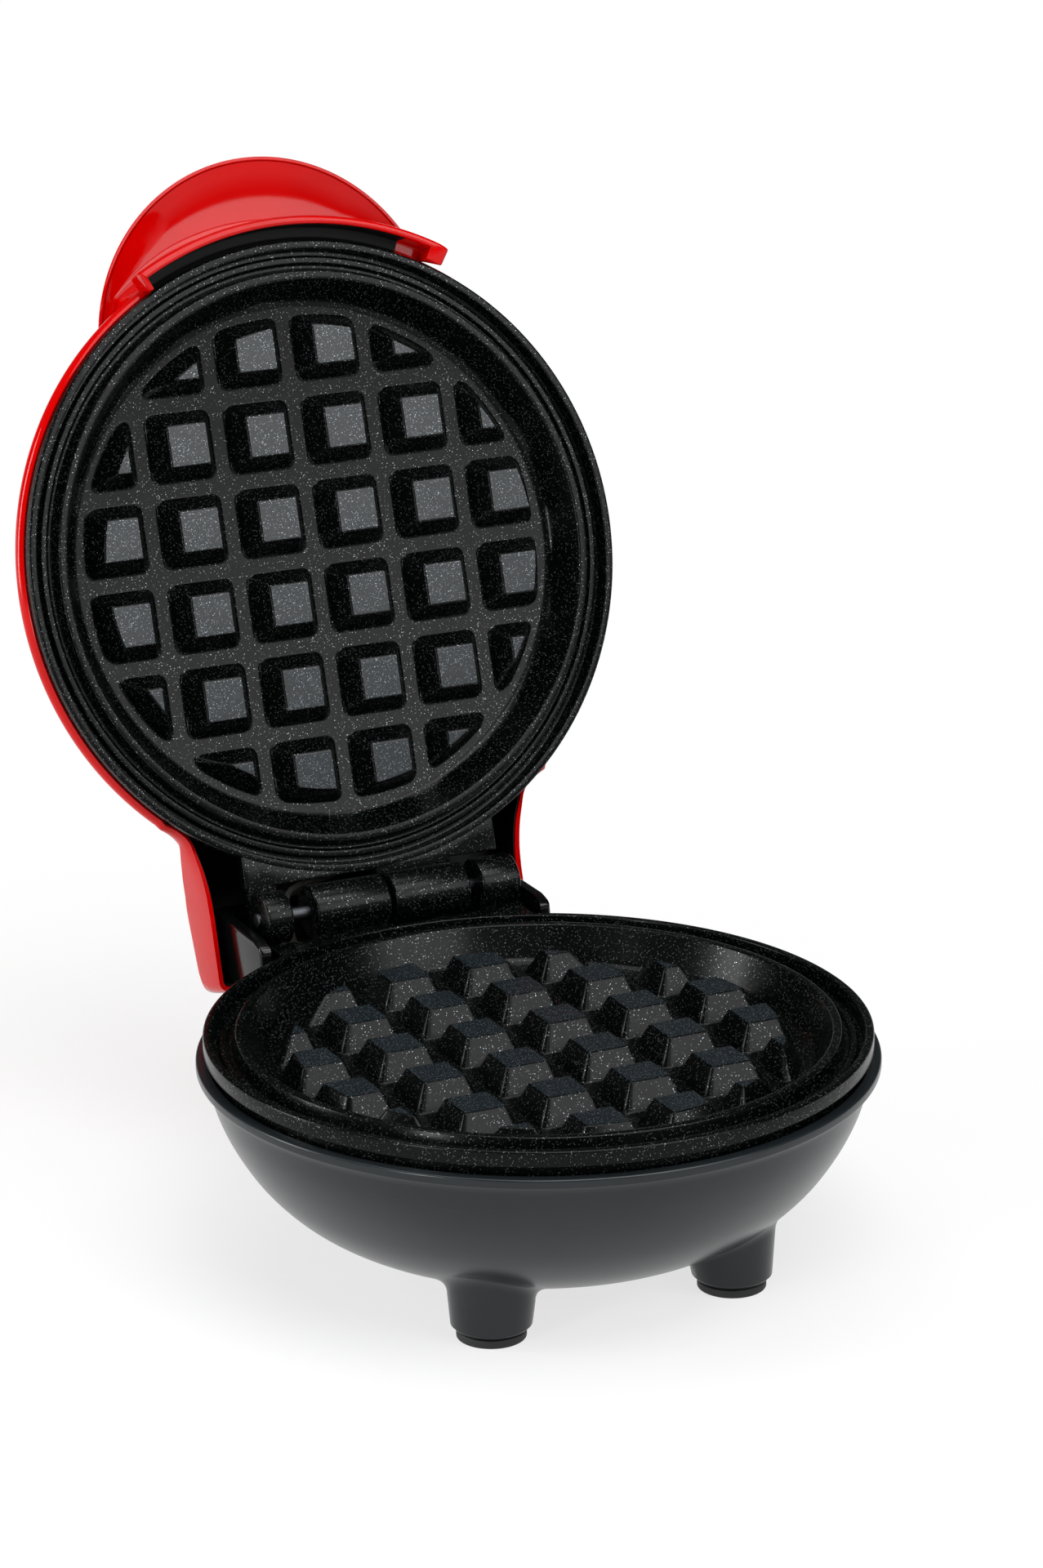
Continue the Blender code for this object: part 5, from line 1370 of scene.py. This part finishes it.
@dataclass
class LidShell:
    """The upper case: dome, tail over the hinge, hood, finger scoop and grip band."""

    radius: float = 63.1
    edge_radius: float = 62.6
    edge: float = 15.5
    edge_rows: Outline = ((0.3, 0.06), (0.58, 0.2), (0.82, 0.42), (1.0, 0.72))
    edge_square: float = 0.6
    edge_fold: float = 0.2
    wall: float = 1.8
    mouth_wall: float = 1.35
    least_wall: float = 0.6
    dome_foot: float = 16.4
    dome_height: float = 22.6
    dome_shares: Outline = (
        (1.0, 0.0), (0.972, 0.155), (0.928, 0.34), (0.865, 0.52), (0.78, 0.68), (0.67, 0.81), (0.52, 0.91),
        (0.34, 0.97), (0.15, 0.997), (0.0, 1.0))
    arc_points: int = 150
    rows: int = 65
    shade_sheet_rows: int = 20
    shade_sheet_shares: Pair = (0.998, 0.996)
    shade_sheet_lift: float = 0.6
    shade_sheet_least: Pair = (0.4, 0.1)
    shade_sheet_depths: Pair = (0.15, 0.4)
    tail_half: float = 33.8
    tail_end: float = 81.0
    tail_edge: float = 17.0
    tail_top: float = 31.0
    tail_back_top: float = 28.4
    tail_kink: float = 58.0
    tail_back_round: float = 5.0
    tail_side_round: float = 2.5
    tail_corner: float = 2.4
    tail_blend: float = 2.0
    corner_steps: int = 8
    side_points: int = 9
    back_points: int = 24
    flare_start: float = 66.0
    flare_out: float = 7.4
    flare_run: float = 18.4
    flare_shares: Outline = (
        (0.0, 0.0), (0.03, 0.22), (0.12, 0.446), (0.25, 0.636), (0.39, 0.8), (0.65, 0.91), (1.0, 1.0))
    scoop_half: float = 40.5
    scoop_wall: float = 62.6
    scoop_overhang: float = 3.0
    scoop_rise: float = 1.2
    scoop_shares: Outline = (
        (0.0, 0.0), (0.22, 0.54), (0.43, 0.91), (0.6, 1.0), (0.75, 0.78), (0.88, -0.3), (0.97, -2.2),
        (1.0, -4.2))
    scoop_skin: float = 1.3
    scoop_steps: int = 161
    scoop_inset: float = 1.0
    scoop_sink: float = 0.3
    scoop_full_reach: float = 12.0
    scoop_lip_gap: float = 0.12
    scoop_last_drop: float = 0.2
    scoop_cover: float = 0.4
    hood_centre: float = -43.4
    hood_radius: float = 36.2
    hood_lip: float = 26.0
    hood_rise: float = 7.7
    hood_bead: Outline = ((36.36, 25.95), (35.34, 25.95), (35.1, 26.7))
    hood_under: Outline = ((33.2, 27.6), (26.0, 29.6), (0.0, 31.0))
    hood_bead_radii: Pair = (0.55, 0.4)
    hood_shares: Outline = (
        (1.0, 0.06), (0.975, 0.2), (0.88, 0.5), (0.72, 0.76), (0.5, 0.93), (0.25, 0.985), (0.0, 1.0))
    hood_top_share: float = 0.96
    hood_steps: int = 240
    hood_blend: float = 2.0
    hood_sink: float = 0.05
    band_radius: float = 66.2
    band_wall: float = 1.8
    band_edge: float = 11.0
    band_ridge: float = 12.6
    band_top: float = 17.6
    band_top_radius: float = 65.4
    band_root: float = 61.9
    band_half: float = 28.3
    # Turns from the front between which the band's hollow and the edge behind it are painted black as shade
    band_black: Pair = (-27.4, 23.0)
    band_wall_half: float = 27.6
    band_flares: Pair = (0.2, 2.6)
    band_flare_heights: Pair = (11.8, 14.6)
    band_end_round: float = 0.5
    band_end_steps: int = 6
    band_end_core: float = 0.05
    band_flare_power: float = 1.5
    band_lean: float = 0.4
    band_round: float = 0.6
    band_round_steps: int = 5
    band_overlap: float = 0.3
    band_steps: int = 110
    hollow_margins: Place = (0.1, 0.5, 0.3)
    shadow_height: float = 2.6
    lens_place: float = -16.0
    lens_bore: float = 3.8
    lens_steps: int = 64
    lens_cut: Pair = (30.0, 45.0)

    def dress(self, red: bpy.types.Material, black: bpy.types.Material) -> None:
        """Build the lid in place of its solid.

        Args:
            red: Finish of the outside.
            black: Finish of the hollows, a matt black that paints their shade.
        """
        skin = Skin()
        skin.shape(self.cap())
        # A black sheet under the shell: painted shade
        skin.shape(self.painted_shade_sheet(), slot=SECOND_FINISH)
        self.add_hood(skin)
        self.add_band(skin)
        skin.piece("lid_case", "lid_shell", Body.LID, [red, black], "red_plastic", sharp_degrees=40.0)

    def dome(self, radius: np.ndarray) -> np.ndarray:
        """Height of the dome by its shares of radius and height, and its foot's height outside it.

        Args:
            radius: Distances from the middle.

        Returns:
            Heights.
        """
        curve = fair_curve(self.dome_shares, 6)[::-1]
        rise = np.interp(radius / self.radius, curve[:, 0], curve[:, 1], right=0.0)
        return self.dome_foot + self.dome_height * rise

    def outline(self) -> tuple[np.ndarray, np.ndarray]:
        """Plan of the lid: a circle, flares that leave it by their shares, and the tail's straight sides.

        Returns:
            Rows of x and y from the front round by the right, and how far each belongs to the tail.
        """
        flare = fair_curve(self.flare_shares, 5)[::-1]
        side = np.stack([self.tail_half + self.flare_out * flare[:, 0],
                         self.flare_start - self.flare_run * flare[:, 1]], axis=1)
        meet = math.atan2(side[0, 1], side[0, 0])
        turns = np.linspace(-np.pi / 2, meet, self.arc_points)
        arc = self.edge_radius * np.stack([np.cos(turns), np.sin(turns)], axis=1)
        arc[-1] = side[0]
        corner = eased_profile([(self.tail_half, self.flare_start), (self.tail_half, self.tail_end),
                                (0.0, self.tail_end)], self.tail_corner, self.corner_steps)
        straight = np.linspace(corner[0], corner[1], self.side_points)[1:]
        back = np.linspace(corner[-2], corner[-1], self.back_points)[1:]
        right = np.vstack([arc, side[1:], straight, corner[2:-1], back])
        tailness = np.ones(len(right))
        tailness[:self.arc_points] = 0.0
        count = len(side) - 1
        tailness[self.arc_points:self.arc_points + count] = smooth_step(np.arange(1, count + 1) / count)
        left = right[-2:0:-1] * (-1.0, 1.0)
        return np.vstack([right, left]), np.concatenate([tailness, tailness[-2:0:-1]])

    def top(self, spots: np.ndarray, tailness: np.ndarray) -> np.ndarray:
        """Height of the lid's outside over plan points.

        The tail's top is flat and then slopes down to the back, and drops by quarter circles at its
        sides and back. The dome and the tail meet in a rounded corner, and a column's share of the
        tail mixes that with the plain dome.

        Args:
            spots: Points of the plan, x and y in the last axis.
            tailness: How far each column belongs to the tail.

        Returns:
            Heights.
        """
        x, y = spots[..., 0], spots[..., 1]
        dome = self.dome(np.hypot(x, y))
        run = self.tail_end - self.tail_back_round - self.tail_kink
        slope = (self.tail_top - self.tail_back_top) / run
        tail = self.tail_top - slope * np.maximum(y - self.tail_kink, 0.0)
        for room, reach in ((self.tail_end - y, self.tail_back_round),
                            (self.tail_half - np.abs(x), self.tail_side_round)):
            missing = np.clip(reach - room, 0.0, reach)
            tail = tail - (reach - np.sqrt(reach ** 2 - missing ** 2))
        return (1.0 - tailness) * dome + tailness * smooth_max(dome, tail, self.tail_blend)

    def inner_plan(self, plan: np.ndarray) -> np.ndarray:
        """Move the outline in by the wall along its normals.

        Args:
            plan: Rows of x and y.

        Returns:
            Rows of x and y.
        """
        along = np.roll(plan, -1, axis=0) - np.roll(plan, 1, axis=0)
        normal = np.stack([along[:, 1], -along[:, 0]], axis=1)
        return plan - self.mouth_wall * normal / np.linalg.norm(normal, axis=1)[:, None]

    def cap(self) -> Form:
        """Outside of the lid and its edge, with the lens's hole and a thickness under it.

        The plan shrinks to its middle in rows whose shares follow a sine, so they crowd at the edge.
        The edge behind the grip band is painted black as shade, as the hollow of the band is.

        Returns:
            The closed form.
        """
        plan, tailness = self.outline()
        inner = self.inner_plan(plan)
        shares = np.sin(np.pi / 2 * np.linspace(0.0, 1.0, self.rows))
        spots = shares[:, None, None] * plan[None, :, :]
        outer = np.concatenate([spots, self.top(spots, tailness)[..., None]], axis=2)
        foot = self.edge + (self.tail_edge - self.edge) * tailness
        rows = [outer]
        rim = outer[-1, :, 2]
        for down, inward in self.edge_rows:
            place = plan + (inner - plan) * (inward * (1.0 - self.edge_square * tailness))[:, None]
            height = rim + (foot - rim) * down
            rows.append(np.concatenate([place, height[:, None]], axis=1)[None])
        rows.append(np.concatenate([inner, (foot + self.edge_fold)[:, None]], axis=1)[None])
        spots = shares[::-2, None, None] * inner[None, :, :]
        under = np.maximum(self.top(spots, tailness) - self.wall, foot + self.least_wall)
        rows.append(np.concatenate([spots, under[..., None]], axis=2))
        body = formed(np.concatenate(rows))
        low, high = self.lens_cut
        bore = np.array([(0.0, low), (self.lens_bore, low), (self.lens_bore, high), (0.0, high)])
        tool = formed(turned(bore, self.lens_steps, (0.0, self.lens_place)))
        shell = carved(body, [tool], Carving.CUT)
        for face in shell.faces:
            x, y, z = face.calc_center_median()
            turn = math.degrees(math.atan2(x, -y))
            within = self.band_black[0] < turn < self.band_black[1]
            in_shadow = z < self.dome_foot + self.shadow_height and within
            face.material_index = SECOND_FINISH * int(in_shadow)
        return shell

    def painted_shade_sheet(self) -> Form:
        """A dark skin just under the inside of the shell: painted shade, where the unlit room shows black.

        Returns:
            The closed form.
        """
        plan, tailness = self.outline()
        shrink, inner_shrink = self.shade_sheet_shares
        upper_least, lower_least = self.shade_sheet_least
        upper_depth, lower_depth = self.shade_sheet_depths
        inner = self.inner_plan(plan) * shrink
        shares = np.sin(np.pi / 2 * np.linspace(0.0, 1.0, self.shade_sheet_rows))
        foot = self.edge + (self.tail_edge - self.edge) * tailness + self.shade_sheet_lift
        spots = shares[:, None, None] * inner[None, :, :]
        high = np.maximum(self.top(spots, tailness) - self.wall - upper_depth, foot + upper_least)
        upper = np.concatenate([spots, high[..., None]], axis=2)
        spots = shares[::-1, None, None] * (inner * inner_shrink)[None, :, :]
        low = np.maximum(self.top(spots, tailness) - self.wall - lower_depth, foot + lower_least)
        wall = np.concatenate([inner, foot[:, None]], axis=1)[None]
        turn = np.concatenate([inner * inner_shrink, foot[:, None]], axis=1)[None]
        return formed(np.concatenate([upper, wall, turn, np.concatenate([spots, low[..., None]], axis=2)]))

    def hood_top(self, distance: np.ndarray) -> np.ndarray:
        """Height of the hood's top by its shares of radius and rise.

        Args:
            distance: Distances from the hood's own middle.

        Returns:
            Heights.
        """
        curve = fair_curve(self.hood_shares, 6)[::-1]
        rise = np.interp(distance / self.hood_radius, curve[:, 0], curve[:, 1], right=0.0)
        return self.hood_lip + self.hood_rise * rise

    def add_hood(self, skin: Skin) -> None:
        """Add the hood's top with its rounded lip, and the hollow scoop under it.

        Args:
            skin: The lid's skin.
        """
        curve = fair_curve(self.hood_shares, 6)[::-1]
        curve = curve[curve[:, 0] < self.hood_top_share]
        heights = self.hood_lip + self.hood_rise * curve[:, 1]
        top = np.stack([self.hood_radius * curve[:, 0], heights], axis=1)
        lip = eased_profile([tuple(top[-1]), *self.hood_bead], self.hood_bead_radii, self.corner_steps)
        turns = np.linspace(0.0, 2 * np.pi, self.hood_steps + 1)[:-1]
        across, along = np.cos(turns), np.sin(turns)
        rows = []
        for number, (radius, height) in enumerate([*top, *lip[1:], *self.hood_under]):
            x = radius * across
            y = self.hood_centre + radius * along
            z = np.full(len(turns), height)
            if number < len(top):
                z = smooth_max(z, self.dome(np.hypot(x, y)) - self.hood_sink, self.hood_blend)
            rows.append(np.stack([x, y, z], axis=1))
        skin.grid(np.stack(rows))
        skin.grid(self.scoop())

    def scoop(self) -> np.ndarray:
        """The hollow from the hood's lip to the dome's foot, one closed section for each direction.

        In a direction from the lid's middle the lip lies where the ray leaves the hood's circle: the
        centre's distance along the ray plus the root of the radius squared less the offset squared.
        The underside rises a little from the lip and then curves down into an upright wall. The back
        of the section is kept under the dome and the hood.

        Returns:
            A grid of points, one row for each direction.
        """
        shares = fair_curve(self.scoop_shares, 6)
        rows = []
        for turn in np.radians(np.linspace(-self.scoop_half, self.scoop_half, self.scoop_steps)):
            offset = self.hood_centre * math.sin(turn)
            ahead = -self.hood_centre * math.cos(turn)
            lip = ahead + math.sqrt((self.hood_radius - self.scoop_inset) ** 2 - offset ** 2)
            wall = min(self.scoop_wall, lip - self.scoop_overhang)
            foot = float(self.dome(np.array(wall))) - self.scoop_sink
            reach = lip - wall
            depth = self.scoop_rise * min(reach / self.scoop_full_reach, 1.0)
            heights = self.hood_lip + self.scoop_lip_gap + depth * shares[:, 1]
            curve = np.stack([lip - reach * shares[:, 0], heights], axis=1)
            face = np.vstack([curve, (wall, min(foot, curve[-1, 1] - self.scoop_last_drop))])
            back = face[::-1] + (-self.scoop_skin, self.scoop_skin)
            apart = np.hypot(back[:, 0] * math.sin(turn), back[:, 0] * math.cos(turn) + self.hood_centre)
            cover = np.maximum(self.dome(back[:, 0]), self.hood_top(apart)) - self.scoop_cover
            back[:, 1] = np.minimum(back[:, 1], cover)
            loop = np.vstack([face, back, face[:1]])
            rows.append(np.stack([loop[:, 0] * math.sin(turn), -loop[:, 0] * math.cos(turn), loop[:, 1]],
                                 axis=1))
        caps = [np.broadcast_to(row.mean(axis=0), row.shape) for row in (rows[0], rows[-1])]
        return np.stack([caps[0], *rows, caps[1]])

    def add_band(self, skin: Skin) -> None:
        """Add the grip band: a wall with a hollow behind it, painted black as shade, and a flared red wall
        at each end.

        Args:
            skin: The lid's skin.
        """
        inner = self.band_radius - self.band_wall
        web = self.band_top - self.band_wall
        front = ((self.band_radius - self.band_lean, self.band_edge), (self.band_radius, self.band_ridge),
                 (self.band_top_radius, self.band_top), (self.band_root, self.band_top))
        rounding = (self.band_round, self.band_round_steps)
        walls = ((inner, self.band_edge), *front, (self.band_root, web), (inner, web))
        hollow = closed_loop(walls, *rounding)
        solid = closed_loop(((self.band_root, self.band_edge + self.band_round), *front), *rounding)
        reach = self.band_wall_half + self.band_overlap
        turns = np.linspace(-reach, reach, self.band_steps)
        rows = self.band_rows(hollow, turns)
        past_wall, past_web, past_edge = self.hollow_margins
        inside = ((hollow[:, 0] < inner + past_wall) & (hollow[:, 1] < web + past_web)
                  & (hollow[:, 1] > self.band_edge + past_edge))
        dark = np.flatnonzero((turns > self.band_black[0]) & (turns < self.band_black[1]))
        for column in range(len(hollow) - 1):
            strip = rows[:, column:column + 2]
            # Faces inside the hollow take the black finish as painted shade
            black = SECOND_FINISH * int(inside[column] and inside[column + 1])
            skin.grid(strip[:dark[0] + 1], closed=False)
            skin.grid(strip[dark[0]:dark[-1] + 1], closed=False, slot=black)
            skin.grid(strip[dark[-1]:], closed=False)
        for side in (-1, 1):
            swing = np.linspace(0.0, np.pi / 2, self.band_end_steps)
            drawn_in = self.band_end_round * (1 - np.cos(swing))
            shrink = np.concatenate([np.zeros(self.band_end_steps - 1), drawn_in])
            end = self.band_half - math.degrees(self.band_end_round / self.band_radius)
            rest = self.band_half - end
            straight = np.linspace(self.band_wall_half, end, self.band_end_steps)[:-1]
            turns = side * np.concatenate([straight, end + rest * np.sin(swing)])
            rows = self.band_rows(solid, turns, side, shrink)
            caps = [np.broadcast_to(row.mean(axis=0), row.shape) for row in (rows[0], rows[-1])]
            # The left end's inner face is painted black as shade too
            skin.grid(np.stack([caps[0], rows[0]]), slot=SECOND_FINISH * int(side < 0))
            skin.grid(np.stack([*rows, caps[1]]))

    def band_rows(self, section: np.ndarray, turns: np.ndarray, side: int = 0,
                  shrink: Sequence[float] | None = None) -> np.ndarray:
        """Sweep a section of radius and height; towards a side's end its low part flares outwards.

        Args:
            section: Rows of radius and height.
            turns: Places of the section, in degrees from the front.
            side: The end that is flared, -1 or 1, or 0 for none.
            shrink: How far the section is drawn in to its middle at each place.

        Returns:
            A grid of points, one row for each place.
        """
        low, high = self.band_flare_heights
        lowness = 1.0 - smooth_step((section[:, 1] - low) / (high - low))
        away = section - section.mean(axis=0)
        length = np.linalg.norm(away, axis=1)
        rows = []
        for turn, drawn in zip(turns, np.zeros(len(turns)) if shrink is None else shrink):
            share = (abs(turn) - self.band_wall_half) / (self.band_half - self.band_wall_half)
            flare = side * self.band_flares[int(side > 0)]
            angle = np.radians(turn + flare * lowness * max(share, 0.0) ** self.band_flare_power)
            place = section - away * (np.minimum(drawn, length - self.band_end_core) / length)[:, None]
            rows.append(np.stack([place[:, 0] * np.sin(angle), -place[:, 0] * np.cos(angle), place[:, 1]],
                                 axis=1))
        return np.stack(rows)


@dataclass
class SmallParts:
    """Pads, pin, gland and lens, which show outside, turned with soft edges."""

    pad_places: Outline = (*BaseShell.front_legs, *BaseShell.back_legs)
    pad_radius: float = 6.35
    pad_foot: float = -38.06
    pad_top: float = -36.4
    pad_stem: float = 5.1
    pad_stem_top: float = -33.9
    pad_edge: float = 0.35
    pad_steps: int = 72
    pin_radius: float = 1.5
    pin_edge: float = 0.3
    pin_steps: int = 48
    pin_span: Pair = (-26.9, 27.9)
    gland_bore: float = 3.4
    gland_radius: float = 4.9
    gland_flange: float = 6.4
    gland_span: Place = (51.0, 66.3, 67.8)
    gland_height: float = BaseShell.gland_height
    gland_edge: float = 0.4
    gland_steps: int = 72
    lens_place: float = LidShell.lens_place
    lens_radius: float = 3.5
    lens_flange: float = 4.8
    lens_edge: float = 0.4
    lens_heights: Place = (35.1, 36.2, 38.9)
    lens_bevel: float = 0.3
    lens_steps: int = 64

    def dress(self, finishes: Finishes) -> None:
        """Build the pieces in place of their solids.

        Args:
            finishes: The finishes.
        """
        for number, place in enumerate(self.pad_places, 1):
            pad = eased_profile([(0.0, self.pad_foot), (self.pad_radius, self.pad_foot),
                                 (self.pad_radius, self.pad_top), (self.pad_stem, self.pad_top),
                                 (self.pad_stem, self.pad_stem_top), (0.0, self.pad_stem_top)],
                                self.pad_edge)
            form = turned(pad, self.pad_steps, place)
            self.replace(form, f"foot_pad_{number}", Body.BASE, finishes.rubber, "rubber")
        left, right = self.pin_span
        pin = eased_profile([(left, 0.0), (left, self.pin_radius), (right, self.pin_radius), (right, 0.0)],
                            self.pin_edge)
        form = turned_along(pin, self.pin_steps, (PLACING.hinge_back, PLACING.hinge_up), Axis.X)
        self.replace(form, "hinge_pin", Body.BASE, finishes.dark_steel, "steel")
        front, face, back = self.gland_span
        gland = closed_loop(((front, self.gland_bore), (front, self.gland_radius), (face, self.gland_radius),
                             (face, self.gland_flange), (back, self.gland_flange), (back, self.gland_bore)),
                            self.gland_edge)
        form = turned_along(gland, self.gland_steps, (0.0, self.gland_height), Axis.Y)
        self.replace(form, "cord_gland", Body.BASE, finishes.rubber, "rubber")
        low, seat, top = self.lens_heights
        lens = eased_profile([(0.0, low), (self.lens_flange, low), (self.lens_flange, seat),
                              (self.lens_radius, seat), (self.lens_radius, top - self.lens_bevel),
                              (0.0, top)], self.lens_edge)
        form = turned(lens, self.lens_steps, (0.0, self.lens_place))
        self.replace(form, "indicator_lens", Body.LID, finishes.amber, "amber_lens")

    def replace(self, surface: np.ndarray, node: str, body: Body, material: bpy.types.Material,
                record_slot: str) -> None:
        """Make one turned piece and hide the solid that it stands for.

        Args:
            surface: Its grid of points, in millimetres.
            node: The solid that it stands for.
            body: Body that it rides on.
            material: Its finish.
            record_slot: The record's slot that it stands for, handed on to the piece, which doesn't use it.
        """
        skin = Skin()
        skin.grid(surface)
        skin.piece(f"{node}_form", node, body, [material], record_slot)


def dress_inner_nodes(nodes: dict[str, bpy.types.Object], finishes: Finishes) -> None:
    """Give the solids that stay their finishes.

    Args:
        nodes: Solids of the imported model, by name.
        finishes: The finishes.
    """
    choices = {
        finishes.sheath: ("lower_heater", "upper_heater"),
        finishes.sheet: ("lower_reflector", "upper_reflector"),
        finishes.steel: ("thermostat_screw", "thermal_fuse",
                         *(f"{level}_{piece}" for level in ("lower", "upper")
                           for piece in ("reflector_screw", "terminal_live", "terminal_neutral")),
                         *(f"base_screw_{number}" for number in range(1, 5))),
        finishes.ceramic: ("thermostat", "indicator_lamp"),
        finishes.brown: ("live_lead",),
        finishes.blue: ("neutral_lead",),
        finishes.sleeve: ("fuse_lead", "heater_lead", "lamp_live_lead", "lamp_neutral_lead"),
        finishes.painted_shade_sleeve: ("link_live_base", "link_neutral_base", "link_live_lid", "link_neutral_lid"),
    }
    for material, names in choices.items():
        for name in names:
            node = nodes[name]
            for slot in node.material_slots:
                slot.material = material
            LOG.info("%s: %s", name, material.name)


def corners(box: Sequence[Vector]) -> list[list[float]]:
    """A box's corners as plain lists, to a hundredth of a millimetre."""
    return [[round(value, 5) for value in corner] for corner in box]


def main() -> None:
    """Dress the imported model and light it."""
    logging.basicConfig(level=logging.INFO, format="%(message)s")
    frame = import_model()
    finishes = Finishes()
    StudioStage().build()
    plates = (CookingPlate("lower_plate", Body.BASE, knuckles=((-16.0, -0.4), (19.2, 27.4)), post_tip=-17.5),
              CookingPlate("upper_plate", Body.LID, knuckles=((-16.6, -0.6), (21.0, 26.3)), post_tip=-13.0))
    for plate in plates:
        plate.dress(finishes.coating, finishes.painted_lit_tops)
    BaseShell().dress(finishes.charcoal, finishes.black)
    LidShell().dress(finishes.red, finishes.hollow)
    SmallParts().dress(finishes)
    dress_inner_nodes(frame["nodes"], finishes)


if __name__ == "__main__":
    main()
